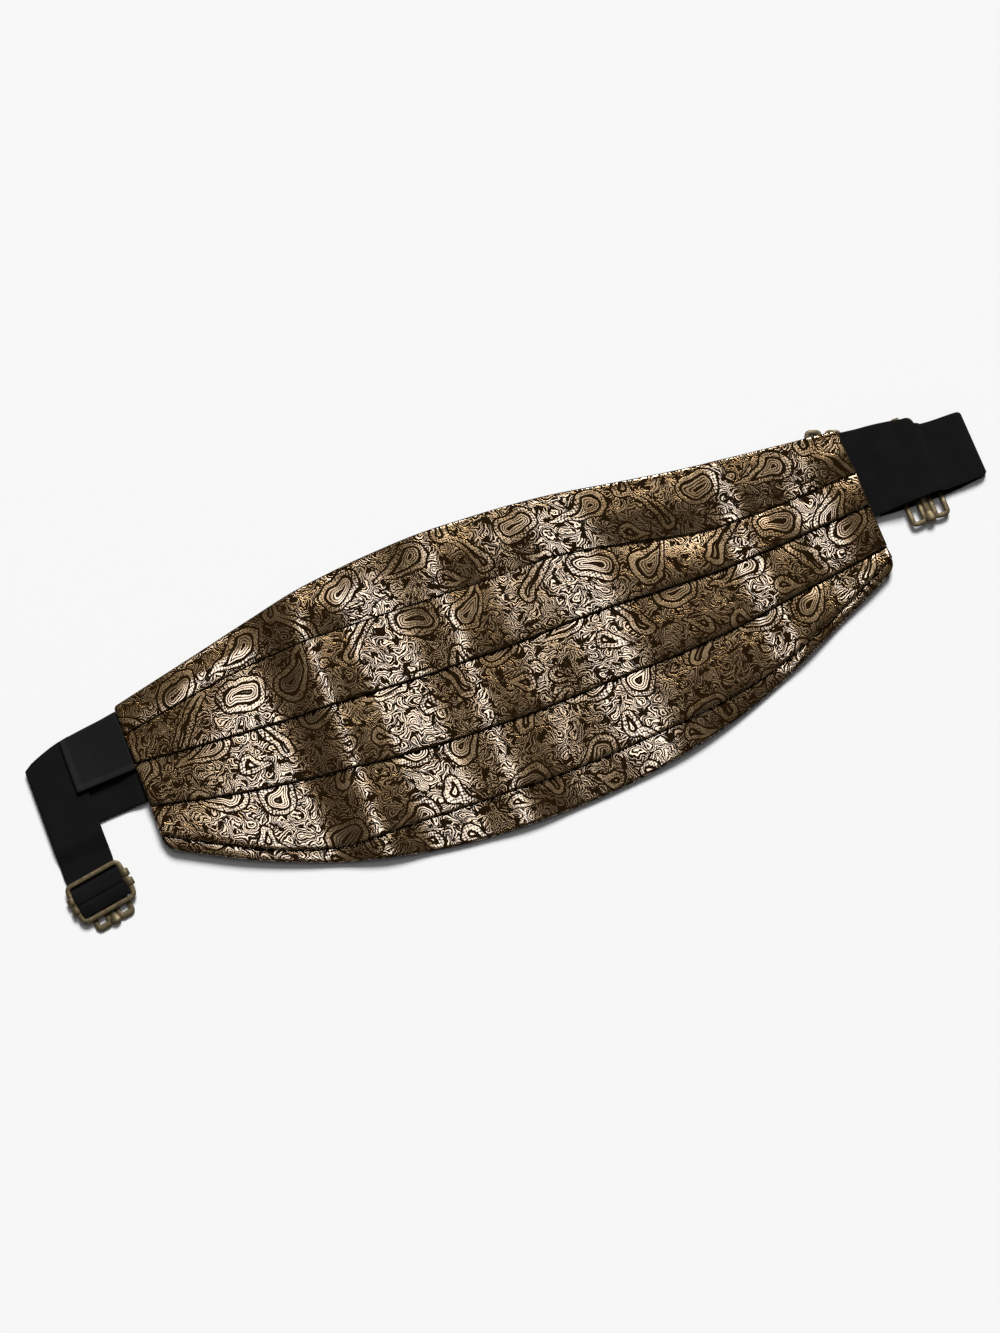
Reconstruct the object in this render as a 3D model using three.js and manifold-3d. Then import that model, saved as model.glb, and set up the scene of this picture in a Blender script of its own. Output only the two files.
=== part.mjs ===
// A pleated dress cummerbund lying face up, with its elastic straps, slides, hooks and blank label.
// Millimetres, +X along the panel, +Y towards its upper edge, +Z up, standing on z = 0.
import * as THREE from 'three';
import { mergeVertices } from 'three/addons/utils/BufferGeometryUtils.js';
import Module from 'manifold-3d';

const wasm = await Module();
wasm.setup();

// Panel
const PANEL_LENGTH = 382;
const END_WIDTH = 75;
const CROWN = 27; // how far the upper edge bows beyond the ends
const BELLY = 53; // how far the lower edge bows beyond the ends
const LOWER_CORNER = 5; // radius of the lower corners
const UPPER_CORNER = 1.5;
const PLEATS = 5;
const PLEAT_WALL = 1.5;
const PLEAT_TUCK = 0.3; // share of a pleat that the next one reaches under it
const EDGE_TURN = 2.5; // rounded upper edge of the first pleat
const LINING_WALL = 1.2;
const LINING_PROUD = 0.5; // lining seen beyond the upper edge and the right end
const LINING_INSET = 1.2; // lining kept back from the lower edge
const GAP = 0.3; // between pieces that touch on the real thing

// Elastic bands, strap and label
const ELASTIC = 1.5;
const BAND_TUCK = 9; // length of a band that is sewn in between the lining and the pleats
const LEFT_EASE = { from: 25, to: 85 }; // where the pleats come down from a sewn-in band, from that end
const RIGHT_EASE = { from: 10, to: 40 };
const LEFT_BAND = { reach: 51, width: 47.5, below: 2 }; // below the panel's upper corner
const RIGHT_BAND = { reach: 62, width: 45.9, below: 1.1 };
const BAND_DROP = 12; // length over which a band comes down to the surface
const FOLD_SPREAD = 1.8; // how far the folded band's lower layer shows below the upper one
const FOLD_OPEN = 1.1; // room between the layers near the fold
const STRAP_WIDTH = 25.4;
const LABEL_LENGTH = 30.5;
const LABEL_WIDTH = 30;
const LABEL_WALL = 1;
const LABEL_TAPER = 3; // narrower by this at its free end
const LABEL_BELOW = 1; // below the left band's upper edge
const LABEL_FALL = 4; // its upper edge comes down by this towards the free end

// Wire slides and hooks
const WIRE = 1.8;
const WIRE_SIDES = 6; // even
const SLIDE_DEPTH = 20.8;
const SLIDE_CORNER = 2.5;
const PLATE_WIDTH = 9;
const PLATE_WALL = 0.9;
const CLAW_WALL = 0.5;
const CLAW_LENGTH = 4;
const CLAW_REACH = 2.7; // how far a claw stands out from the wire's centre
const LOOP_WIDTH = 8;
const LOOP_CORNER = 2.4;
const TONGUE_WIDTH = 5.2; // at its tip
const TONGUE_STEM = 3.2; // width between the loops
const TONGUE_WALL = 1.1;
const TONGUE_LEAD = 2; // how far the tongue passes the loops
const TONGUE_RISE = 0.6; // how far its tip rises, past the slide's bar

// Places of the slides and hooks: out from the panel's end, and below the edge that each is set by,
// with their turns in degrees, their reach and the spacing of their two loops
const LEFT_SLIDE = { out: 36.6, below: 33.3, turn: 8.5, reach: 16.5, spacing: 12 }; // below the left band
const RIGHT_SLIDE = { out: 26.8, below: 19.6 }; // below the right band's upper edge
const SIDE_HOOK = { out: 26.6, inside: 5.5, reach: 17.5, spacing: 12 }; // inside the right band's lower edge
const BACK_HOOK = { inside: 11, below: 11, turn: 158.6, reach: 15, spacing: 9.8 }; // from the panel's upper corner
const HOOK_EASE = { from: 18, to: 75 }; // distances over which the lining comes down from the back hook

// Outline along the panel, as shares of CROWN and BELLY, and the pleats' fold lines as shares of its width
const SECTIONS = [
  { at: 0.0, crown: 0.0, belly: 0.0, fold1: 0.2, fold2: 0.405, fold3: 0.7, fold4: 0.91 },
  { at: 0.1, crown: 0.31, belly: 0.39, fold1: 0.165, fold2: 0.41, fold3: 0.675, fold4: 0.94 },
  { at: 0.2, crown: 0.63, belly: 0.69, fold1: 0.164, fold2: 0.42, fold3: 0.662, fold4: 0.944 },
  { at: 0.3, crown: 0.89, belly: 0.88, fold1: 0.19, fold2: 0.433, fold3: 0.665, fold4: 0.9 },
  { at: 0.4, crown: 1.0, belly: 0.98, fold1: 0.21, fold2: 0.444, fold3: 0.67, fold4: 0.884 },
  { at: 0.5, crown: 0.98, belly: 1.0, fold1: 0.217, fold2: 0.445, fold3: 0.672, fold4: 0.887 },
  { at: 0.6, crown: 0.86, belly: 0.96, fold1: 0.212, fold2: 0.437, fold3: 0.67, fold4: 0.893 },
  { at: 0.7, crown: 0.61, belly: 0.84, fold1: 0.243, fold2: 0.44, fold3: 0.683, fold4: 0.91 },
  { at: 0.8, crown: 0.38, belly: 0.625, fold1: 0.288, fold2: 0.463, fold3: 0.707, fold4: 0.94 },
  { at: 0.9, crown: 0.18, belly: 0.32, fold1: 0.305, fold2: 0.497, fold3: 0.755, fold4: 0.95 },
  { at: 1.0, crown: 0.0, belly: 0.0, fold1: 0.318, fold2: 0.548, fold3: 0.842, fold4: 0.93 },
];

// Soft waves across the panel, where it stands clear of the surface, as shares of its length
const WAVES = [
  { crest: 0.257, rise: 1.8, before: 0.07, after: 0.065 },
  { crest: 0.445, rise: 1.2, before: 0.07, after: 0.07 },
  { crest: 0.67, rise: 1.4, before: 0.1, after: 0.13 },
  { crest: 0.855, rise: 1.4, before: 0.055, after: 0.07 },
];

// Cross-section of a pleat, from its tucked upper edge to its lower fold: shares of each stretch,
// of the lift over the next pleat and of the wall
const PLEAT_ROWS = [
  { on: 'tuck', across: 0, lift: 0, wall: 0.7 },
  { on: 'tuck', across: 1, lift: 0, wall: 1 },
  { on: 'slope', across: 0.5, lift: 0.55, wall: 1.1 },
  { on: 'slope', across: 1, lift: 1, wall: 1 },
  { on: 'lap', across: 0.55, lift: 1, wall: 1.15 },
  { on: 'lap', across: 0.88, lift: 1, wall: 1.05 },
  { on: 'lap', across: 1, lift: 1.1, wall: 0.5 },
];

// Edges of the bands along their reach, as shares of their edges at the panel
const LEFT_BAND_EDGES = [
  { at: 0.0, upper: 1.0, lower: 1.0 },
  { at: 0.6, upper: 0.89, lower: 1.12 },
  { at: 0.9, upper: 0.75, lower: 1.38 },
  { at: 1.0, upper: 0.66, lower: 1.46 },
];
const RIGHT_BAND_EDGES = [
  { at: 0.0, upper: 1.0, lower: 1.0 },
  { at: 0.54, upper: 0.84, lower: 0.98 },
  { at: 0.61, upper: 0.73, lower: 1.02 },
  { at: 1.0, upper: 0.69, lower: 1.0 },
];

const BRASS = { color: 0x7a5d33, metalness: 0.85, roughness: 0.45 };
const BLACK_ELASTIC = { color: 0x0b0b0d, metalness: 0, roughness: 0.9 };
const BROCADE = { color: 0x6b5433, metalness: 0.35, roughness: 0.5 };
const LINING_CLOTH = { color: 0x0d0c0c, metalness: 0, roughness: 0.85 };
const SATIN = { color: 0x101013, metalness: 0, roughness: 0.4 };

const part = new THREE.Group();
const onLining = LINING_WALL + GAP;
const wireRadius = WIRE / 2;
const clawRadius = wireRadius + GAP + CLAW_WALL;
const slideLength = STRAP_WIDTH + 2 * GAP + 2 * WIRE;
const layLow = wireRadius; // centre of a wire that lies on the surface
const layOver = ELASTIC + GAP + wireRadius; // centre of a wire that lies on an elastic or on a lower wire
const layOnClaws = ELASTIC + GAP + clawRadius; // centre of a slide whose claws lie on an elastic
const upperCorner = END_WIDTH / 2;
const leftUpper = upperCorner - LEFT_BAND.below; // edges of the bands at the panel's ends
const leftLower = LEFT_BAND.width - leftUpper;
const rightUpper = upperCorner - RIGHT_BAND.below;
const rightLower = RIGHT_BAND.width - rightUpper;
const backHookAt = new THREE.Vector3(PANEL_LENGTH - BACK_HOOK.inside, upperCorner - BACK_HOOK.below, layLow);

const turned = (degrees) => THREE.MathUtils.degToRad(degrees);
const mix = THREE.MathUtils.lerp;

function smooth(from, to, value) {
  const t = THREE.MathUtils.clamp((value - from) / (to - from), 0, 1);
  return t * t * (3 - 2 * t);
}

// Reads a column of a table at a share of its length, along a smooth curve through its rows
function column(table, name, at) {
  const i = THREE.MathUtils.clamp(table.findIndex((row) => row.at >= at) - 1, 0, table.length - 2);
  const row = (k) => table[THREE.MathUtils.clamp(k, 0, table.length - 1)];
  const span = row(i + 1).at - row(i).at;
  const t = (at - row(i).at) / span;
  const slope = (k) => ((row(k + 1)[name] - row(k - 1)[name]) / (row(k + 1).at - row(k - 1).at)) * span;
  const a = row(i)[name];
  const b = row(i + 1)[name];
  return (
    (2 * t ** 3 - 3 * t ** 2 + 1) * a +
    (t ** 3 - 2 * t ** 2 + t) * slope(i) +
    (3 * t ** 2 - 2 * t ** 3) * b +
    (t ** 3 - t ** 2) * slope(i + 1)
  );
}

// How far a round corner pulls an edge in, at a distance from the panel's end
function cornerPull(radius, x) {
  const d = Math.min(x, PANEL_LENGTH - x);
  return d >= radius ? 0 : radius - Math.sqrt(radius ** 2 - (radius - d) ** 2);
}

// Height of line k across the panel at x: 0 is the upper edge, PLEATS the lower edge, the rest are folds
function line(k, x) {
  const at = x / PANEL_LENGTH;
  const upper = END_WIDTH / 2 + CROWN * column(SECTIONS, 'crown', at);
  const lower = -END_WIDTH / 2 - BELLY * column(SECTIONS, 'belly', at);
  const lastPleat = END_WIDTH * (1 - column(SECTIONS, `fold${PLEATS - 1}`, Math.round(at)));
  if (k === 0) return upper - cornerPull(UPPER_CORNER, x);
  if (k === PLEATS) return lower + cornerPull(Math.min(LOWER_CORNER, 0.9 * lastPleat), x);
  return upper + (lower - upper) * column(SECTIONS, `fold${k}`, at);
}

// Height of the lining's under side over the surface: the waves, and the lift over the back hook
function base(x, y) {
  let z = 0;
  for (const wave of WAVES) {
    const past = x / PANEL_LENGTH - wave.crest;
    const t = past / (past < 0 ? wave.before : wave.after);
    if (Math.abs(t) < 1) z += (wave.rise * (1 + Math.cos(Math.PI * t))) / 2;
  }
  const far = Math.hypot(x - backHookAt.x, y - backHookAt.y - BACK_HOOK.reach / 2);
  const overHook = (WIRE + 1.3 * GAP) * (1 - smooth(HOOK_EASE.from, HOOK_EASE.to, far));
  return Math.max(z, overHook);
}

// Extra height of the pleats over a sewn-in band near each end
function bandLift(x) {
  const left = 1 - smooth(LEFT_EASE.from, LEFT_EASE.to, x);
  const right = 1 - smooth(RIGHT_EASE.from, RIGHT_EASE.to, PANEL_LENGTH - x);
  return (ELASTIC + GAP) * Math.max(left, right);
}

// A closed sheet: a box of nu by nv cells whose points are put in place by their cell and side
function sheet(nu, nv, place) {
  const geometry = new THREE.BoxGeometry(1, 1, 1, nu, nv, 1);
  const at = geometry.attributes.position;
  for (let i = 0; i < at.count; i++) {
    const u = Math.round((at.getX(i) + 0.5) * nu);
    const v = Math.round((at.getY(i) + 0.5) * nv);
    const p = place(u, v, at.getZ(i) > 0);
    at.setXYZ(i, p.x, p.y, p.z);
  }
  geometry.deleteAttribute('normal');
  geometry.deleteAttribute('uv');
  return mergeVertices(geometry, 1e-4);
}

function add(name, geometry, finish, parent = part) {
  geometry.computeVertexNormals();
  const mesh = new THREE.Mesh(geometry, new THREE.MeshStandardMaterial(finish));
  mesh.name = name;
  parent.add(mesh);
}

// A group that places what is made in its own frame
function placed(x, y, z, degrees) {
  const group = new THREE.Group();
  group.position.set(x, y, z);
  group.rotation.z = turned(degrees);
  part.add(group);
  return group;
}

// Distances along the panel at which its sections stand, closer in the rounded corners
const EVEN_SECTIONS = 32;
const cornerSteps = [0, 0.3 * LOWER_CORNER, LOWER_CORNER];
const between = PANEL_LENGTH - 2 * LOWER_CORNER;
const xs = [...cornerSteps];
for (let i = 1; i < EVEN_SECTIONS; i++) xs.push(LOWER_CORNER + (between * i) / EVEN_SECTIONS);
for (const d of [...cornerSteps].reverse()) xs.push(PANEL_LENGTH - d);
const cells = xs.length - 1;

// One pleat: tucked under the one above it, sloping up and lapping over the one below it
function pleat(k) {
  const rows = PLEAT_ROWS.length - 1;
  const lift = k < PLEATS ? PLEAT_WALL + GAP : 0;
  return sheet(cells, rows, (u, v, isTop) => {
    const x = xs[u];
    const row = PLEAT_ROWS[rows - v];
    const lowest = line(k, x);
    const start = k === 1 ? line(0, x) - EDGE_TURN : line(k - 1, x);
    const highest = k === 1 ? line(0, x) : start + PLEAT_TUCK * (line(k - 2, x) - start);
    const lapStart = lowest + PLEAT_TUCK * (line(k - 1, x) - lowest);
    const [from, to] = { tuck: [highest, start], slope: [start, lapStart], lap: [lapStart, lowest] }[row.on];
    const y = mix(from, to, row.across);
    const under = base(x, y) + onLining + bandLift(x) + lift * row.lift;
    return { x, y, z: under + (isTop ? PLEAT_WALL * row.wall : 0) };
  });
}
for (let k = 1; k <= PLEATS; k++) add(`pleat_${k}`, pleat(k), BROCADE);

// Plain lining behind the pleats
function lining() {
  const rows = 6;
  return sheet(cells, rows, (u, v, isTop) => {
    const x = xs[u];
    const y = mix(line(PLEATS, x) + LINING_INSET, line(0, x) + LINING_PROUD, v / rows);
    const proud = u === cells ? LINING_PROUD : 0;
    return { x: x + proud, y, z: base(x, y) + (isTop ? LINING_WALL : 0) };
  });
}
add('back_lining', lining(), LINING_CLOTH);

// Wide elastic band at the left end, sewn in between the lining and the pleats
function leftBand() {
  const along = 14;
  const across = 4;
  return sheet(along, across, (u, v, isTop) => {
    const out = mix(LEFT_BAND.reach, -BAND_TUCK, u / along);
    const at = Math.max(0, out) / LEFT_BAND.reach;
    const upper = leftUpper * column(LEFT_BAND_EDGES, 'upper', at);
    const lower = -leftLower * column(LEFT_BAND_EDGES, 'lower', at);
    const y = mix(lower, upper, v / across);
    const under = onLining * (1 - smooth(1, BAND_DROP, out)) + base(Math.max(0, -out), y);
    return { x: -out, y, z: under + (isTop ? ELASTIC : 0) };
  });
}
add('left_band', leftBand(), BLACK_ELASTIC);

// Route of an elastic's middle layer as seen from its side: distance along the surface and height.
// It gives the place and the way up from there, half the elastic's wall long.
const midWall = ELASTIC / 2;
function route(points) {
  const curve = new THREE.CatmullRomCurve3(
    points.map(([along, z]) => new THREE.Vector3(along, 0, z)),
    false,
    'centripetal',
  );
  return (share) => {
    const p = curve.getPointAt(share);
    const tangent = curve.getTangentAt(share);
    return { along: p.x, z: p.z, upAlong: -tangent.z * midWall, upZ: tangent.x * midWall };
  };
}

// Narrow strap that lies across the wide band and runs down through the left slide, turning with it:
// under the slide's upper bar, over its plate and down inside its lower bar
const slideY = -leftLower - LEFT_SLIDE.below;
function leftStrap() {
  const along = 44;
  const across = 2;
  const strapSide = LEFT_BAND.reach - STRAP_WIDTH / 2; // its middle line from the panel's end
  const bandFoot = leftLower * column(LEFT_BAND_EDGES, 'lower', 1);
  const upperBar = -slideY - SLIDE_DEPTH / 2;
  const plateStart = -slideY - PLATE_WIDTH / 2;
  const plateEnd = -slideY + PLATE_WIDTH / 2;
  const overBand = ELASTIC + GAP + midWall;
  const overPlate = layOver + PLATE_WALL / 2 + GAP + midWall;
  const threadedWidth = slideLength - WIRE - 2 * (clawRadius + GAP);
  const bend = ELASTIC; // the bends between these are measured in it
  const run = route([
    [-leftUpper, overBand],
    [0, overBand],
    [bandFoot - 2 * bend, overBand],
    [bandFoot + bend, overBand],
    [bandFoot + 6 * bend, midWall],
    [upperBar - 3 * bend, midWall],
    [upperBar + wireRadius, midWall],
    [upperBar + WIRE + GAP + midWall, midWall + GAP],
    [plateStart - 0.8 * bend, overPlate - GAP],
    [plateStart + 0.7 * bend, overPlate],
    [plateEnd - 0.7 * bend, overPlate],
    [plateEnd + 1.3 * bend, overPlate - 2 * GAP],
    [-slideY + SLIDE_DEPTH / 2 - WIRE - 2 * GAP, layOver + GAP],
  ]);
  return sheet(across, along, (u, v, isTop) => {
    const p = run(1 - v / along);
    const side = isTop ? 1 : -1;
    const turning = smooth(upperBar - 3 * bend, upperBar + bend, p.along);
    const aside = (u / across - 0.5) * mix(STRAP_WIDTH, threadedWidth, turning);
    const bandTop = leftUpper * column(LEFT_BAND_EDGES, 'upper', (strapSide - aside) / LEFT_BAND.reach) - GAP;
    const down = p.along < 0 ? (p.along * bandTop) / leftUpper : p.along;
    const up = -slideY - down - p.upAlong * side;
    const angle = turned(LEFT_SLIDE.turn) * turning;
    return {
      x: -mix(strapSide, LEFT_SLIDE.out, turning) + aside * Math.cos(angle) - up * Math.sin(angle),
      y: slideY + aside * Math.sin(angle) + up * Math.cos(angle),
      z: Math.max(0, p.z + p.upZ * side),
    };
  });
}
add('left_strap', leftStrap(), BLACK_ELASTIC);

// Blank folded label on the band, over the edge of the narrow strap
function label() {
  const along = 6;
  const across = 3;
  return sheet(along, across, (u, v, isTop) => {
    const free = 1 - u / along;
    const top = leftUpper - LABEL_BELOW - LABEL_FALL * free;
    const y = top - (LABEL_WIDTH - LABEL_TAPER * free) * (1 - v / across);
    const under = Math.max(onLining, ELASTIC + GAP) + ELASTIC + GAP;
    return { x: -GAP - LABEL_LENGTH * free, y, z: under + (isTop ? LABEL_WALL : 0) };
  });
}
add('label', label(), SATIN);

// Folded wide band at the right end: out over the slide and the hook, round the fold and back below them
function rightBand() {
  const along = 48;
  const across = 3;
  const nearBar = RIGHT_SLIDE.out - SLIDE_DEPTH / 2;
  const farBar = RIGHT_SLIDE.out + SLIDE_DEPTH / 2;
  const overSlide = layOnClaws + clawRadius + GAP + midWall;
  const nearFold = midWall + ELASTIC + FOLD_OPEN;
  const bend = 4 * ELASTIC; // length of the fold's bend
  const layers = route([
    [-BAND_TUCK, onLining + midWall],
    [0, onLining + midWall],
    [nearBar - ELASTIC, overSlide - GAP],
    [RIGHT_SLIDE.out, overSlide],
    [farBar + GAP, overSlide],
    [farBar + 3 * ELASTIC, nearFold + GAP],
    [RIGHT_BAND.reach - bend, nearFold],
    [RIGHT_BAND.reach - midWall, (nearFold + midWall) / 2],
    [RIGHT_BAND.reach - bend, midWall],
    [RIGHT_BAND.reach / 2, midWall],
    [BAND_DROP / 3, midWall],
  ]);
  return sheet(along, across, (u, v, isTop) => {
    const p = layers(u / along);
    const side = isTop ? 1 : -1;
    const at = THREE.MathUtils.clamp(p.along / RIGHT_BAND.reach, 0, 1);
    const isBelow = p.upZ < 0;
    const spread = isBelow ? FOLD_SPREAD * Math.sin(Math.PI * at) : 0;
    const upper = rightUpper * column(RIGHT_BAND_EDGES, 'upper', at) - (isBelow ? FOLD_SPREAD : 0);
    const lower = -rightLower * column(RIGHT_BAND_EDGES, 'lower', at) - spread;
    const y = mix(lower, upper, v / across);
    const x = PANEL_LENGTH + p.along;
    const raise = isBelow ? 0 : base(Math.min(x, PANEL_LENGTH), y) * (1 - smooth(0, BAND_DROP, p.along));
    return { x: x + p.upAlong * side, y, z: Math.max(0, p.z + p.upZ * side + raise) };
  });
}
add('right_band', rightBand(), BLACK_ELASTIC);

// Solids for joining and cutting
function solid(geometry, matrix) {
  const bare = geometry.clone();
  bare.deleteAttribute('normal');
  bare.deleteAttribute('uv');
  if (matrix) bare.applyMatrix4(matrix);
  const merged = mergeVertices(bare.index ? bare.toNonIndexed() : bare, 1e-4);
  return new wasm.Manifold(
    new wasm.Mesh({
      numProp: 3,
      vertProperties: Float32Array.from(merged.attributes.position.array),
      triVerts: Uint32Array.from(merged.index.array),
    }),
  );
}

function fromSolid(shape) {
  const mesh = shape.getMesh();
  const geometry = new THREE.BufferGeometry();
  geometry.setAttribute('position', new THREE.BufferAttribute(Float32Array.from(mesh.vertProperties), 3));
  geometry.setIndex(Array.from(mesh.triVerts));
  return geometry;
}

const joined = (solids) => fromSolid(solids.reduce((a, b) => a.add(b)));
const moved = (x, y, z) => new THREE.Matrix4().makeTranslation(x, y, z);

// A wire slide: a ring bent round a rounded rectangle
function slideRing() {
  const turns = 24;
  const halfLength = (slideLength - WIRE) / 2;
  const halfDepth = (SLIDE_DEPTH - WIRE) / 2;
  const r = SLIDE_CORNER;
  const outline = new THREE.Shape();
  outline.absarc(halfLength - r, halfDepth - r, r, 0, 0.5 * Math.PI);
  outline.absarc(-halfLength + r, halfDepth - r, r, 0.5 * Math.PI, Math.PI);
  outline.absarc(-halfLength + r, -halfDepth + r, r, Math.PI, 1.5 * Math.PI);
  outline.absarc(halfLength - r, -halfDepth + r, r, 1.5 * Math.PI, 2 * Math.PI);
  outline.closePath();
  const geometry = new THREE.TorusGeometry(2, 1, WIRE_SIDES, turns);
  const at = geometry.attributes.position;
  for (let i = 0; i < at.count; i++) {
    const angle = Math.atan2(at.getY(i), at.getX(i));
    const share = THREE.MathUtils.euclideanModulo(angle / (2 * Math.PI) + 1e-9, 1);
    const outward = (Math.hypot(at.getX(i), at.getY(i)) - 2) * wireRadius;
    const p = outline.getPointAt(share);
    const tangent = outline.getTangentAt(share);
    at.setXYZ(i, p.x + tangent.y * outward, p.y - tangent.x * outward, at.getZ(i) * wireRadius);
  }
  return geometry;
}

// A wire swept along straight runs with rounded corners
function wire(points, corner) {
  const path = new THREE.CurvePath();
  let from = points[0];
  for (let i = 1; i < points.length - 1; i++) {
    const before = points[i].clone().lerp(points[i - 1], corner / points[i].distanceTo(points[i - 1]));
    const after = points[i].clone().lerp(points[i + 1], corner / points[i].distanceTo(points[i + 1]));
    path.add(new THREE.LineCurve3(from, before));
    path.add(new THREE.QuadraticBezierCurve3(before, points[i], after));
    from = after;
  }
  path.add(new THREE.LineCurve3(from, points[points.length - 1]));
  const round = new THREE.Shape();
  round.absarc(0, 0, wireRadius, 0, 2 * Math.PI);
  const sweep = { steps: 24, bevelEnabled: false, extrudePath: path, curveSegments: WIRE_SIDES / 2 };
  return new THREE.ExtrudeGeometry(round, sweep);
}

// Two wire loops reaching out along -Y, which may drop to a lower level first
function hookLoops(hook, drop) {
  const half = (LOOP_WIDTH - WIRE) / 2;
  const corner = Math.min(LOOP_CORNER, 0.9 * half);
  return [-hook.spacing / 2, hook.spacing / 2].map((middle) => {
    const point = (side, y, z) => new THREE.Vector3(middle + side * half, y, z);
    const bottom = -hook.reach + wireRadius;
    const foot = -PLATE_WIDTH / 2 - WIRE;
    const down = drop > 0 ? [point(-1, foot, -drop)] : [];
    const up = drop > 0 ? [point(1, foot, -drop)] : [];
    const turn = [point(-1, bottom, -drop), point(1, bottom, -drop)];
    return solid(wire([point(-1, 0, 0), ...down, ...turn, ...up, point(1, 0, 0)], corner));
  });
}

// Flat tongue between the loops, wider and thicker at its tip
function hookTongue(hook, drop) {
  const along = 8;
  const length = hook.reach + TONGUE_LEAD;
  return solid(
    sheet(1, along, (u, v, isTop) => {
      const y = length * (v / along - 1);
      const sunk = drop * smooth(0, PLATE_WIDTH / 2 + WIRE, -y);
      const wall = TONGUE_WALL * (1 + 0.5 * smooth(0.75 * length, length, -y));
      const raised = TONGUE_RISE * smooth(SLIDE_DEPTH / 2 + WIRE, hook.reach, -y);
      const width = mix(TONGUE_STEM, TONGUE_WIDTH, smooth(0.7 * length, 0.85 * length, -y));
      return { x: (u - 0.5) * width, y, z: raised - sunk - TONGUE_WALL / 2 + (isTop ? wall : 0) };
    }),
  );
}

// Bar that carries a plain hook
function hookBar(hook) {
  const bar = new THREE.CylinderGeometry(wireRadius, wireRadius, hook.spacing + LOOP_WIDTH, WIRE_SIDES);
  return solid(bar, new THREE.Matrix4().makeRotationZ(turned(90)));
}

// Plate across a slide, whose claws close round its two short sides, joined to what it carries
function slidePlate(carried) {
  const sideBar = (slideLength - WIRE) / 2;
  const round = 10;
  let body = solid(new THREE.BoxGeometry(2 * sideBar, PLATE_WIDTH, PLATE_WALL));
  for (const piece of carried) body = body.add(piece);
  for (const side of [-sideBar, sideBar]) {
    for (const end of [-1, 1]) {
      const claw = new THREE.CylinderGeometry(clawRadius, clawRadius, CLAW_LENGTH, round);
      claw.scale((CLAW_REACH + clawRadius) / (2 * clawRadius), 1, 1);
      const out = (Math.sign(side) * (CLAW_REACH - clawRadius)) / 2;
      body = body.add(solid(claw, moved(side + out, (end * (PLATE_WIDTH - CLAW_LENGTH)) / 2, 0)));
    }
  }
  for (const side of [-sideBar, sideBar]) {
    const room = new THREE.CylinderGeometry(wireRadius + GAP, wireRadius + GAP, 2 * PLATE_WIDTH, round);
    body = body.subtract(solid(room, moved(side, 0, 0)));
  }
  return fromSolid(body);
}

// Left slide, threaded by the narrow strap, with the hook that closes the cummerbund
const leftUnit = placed(-LEFT_SLIDE.out, slideY, layOver, LEFT_SLIDE.turn);
const leftDrop = layOver - layLow;
add('left_slide', slideRing(), BRASS, leftUnit);
add('left_hook', slidePlate([...hookLoops(LEFT_SLIDE, leftDrop), hookTongue(LEFT_SLIDE, leftDrop)]), BRASS, leftUnit);

// Right slide, set across the band between its two layers, and its plain plate
const rightUnit = placed(PANEL_LENGTH + RIGHT_SLIDE.out, rightUpper - RIGHT_SLIDE.below, layOnClaws, 90);
add('right_slide', slideRing(), BRASS, rightUnit);
add('right_plate', slidePlate([]), BRASS, rightUnit);

// Hook that reaches out below the folded band
const sideUnit = placed(PANEL_LENGTH + SIDE_HOOK.out, SIDE_HOOK.inside - rightLower, layOver, 0);
add('side_hook', joined([hookBar(SIDE_HOOK), ...hookLoops(SIDE_HOOK, 0), hookTongue(SIDE_HOOK, 0)]), BRASS, sideUnit);

// Hook under the lining at the right upper corner, on the surface
const backUnit = placed(backHookAt.x, backHookAt.y, backHookAt.z, BACK_HOOK.turn);
add('back_hook', joined([hookBar(BACK_HOOK), ...hookLoops(BACK_HOOK, 0)]), BRASS, backUnit);

// The origin is the middle of the whole, on the surface
const box = new THREE.Box3().setFromObject(part, true);
const middle = box.getCenter(new THREE.Vector3());
part.position.set(-middle.x, -middle.y, -box.min.z);
part.updateMatrixWorld(true);

export default part;
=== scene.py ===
"""The looks of a pleated brocade cummerbund, lying face up with its elastic bands, slides and hooks.

Metres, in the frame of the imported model: +X along the panel, +Y towards its upper edge, +Z up.
"""

import math

import bmesh
import bpy
from bpy.props import FloatProperty, FloatVectorProperty, IntProperty, PointerProperty
from mathutils import Matrix, Vector, noise


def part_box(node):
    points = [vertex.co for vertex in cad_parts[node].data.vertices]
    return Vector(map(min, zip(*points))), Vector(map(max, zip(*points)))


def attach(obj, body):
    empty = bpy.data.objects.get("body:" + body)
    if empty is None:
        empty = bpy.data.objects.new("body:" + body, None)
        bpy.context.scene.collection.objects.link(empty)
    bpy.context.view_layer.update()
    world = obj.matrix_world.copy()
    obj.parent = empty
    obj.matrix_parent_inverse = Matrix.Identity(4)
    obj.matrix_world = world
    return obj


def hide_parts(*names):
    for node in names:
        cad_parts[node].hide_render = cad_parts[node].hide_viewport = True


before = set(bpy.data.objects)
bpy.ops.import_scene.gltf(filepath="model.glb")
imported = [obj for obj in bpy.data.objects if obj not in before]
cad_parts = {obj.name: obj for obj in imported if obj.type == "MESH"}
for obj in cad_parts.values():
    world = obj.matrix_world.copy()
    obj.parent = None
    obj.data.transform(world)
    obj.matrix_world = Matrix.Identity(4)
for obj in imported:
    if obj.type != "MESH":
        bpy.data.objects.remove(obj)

bl_info = {
    "name": "Cummerbund",
    "version": (1, 0, 0),
    "blender": (4, 5, 0),
    "location": "View3D > Sidebar > Cummerbund",
    "description": "Builds a pleated cummerbund with its bands, slides and hooks",
    "category": "Add Mesh",
}

MM = 0.001

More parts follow.
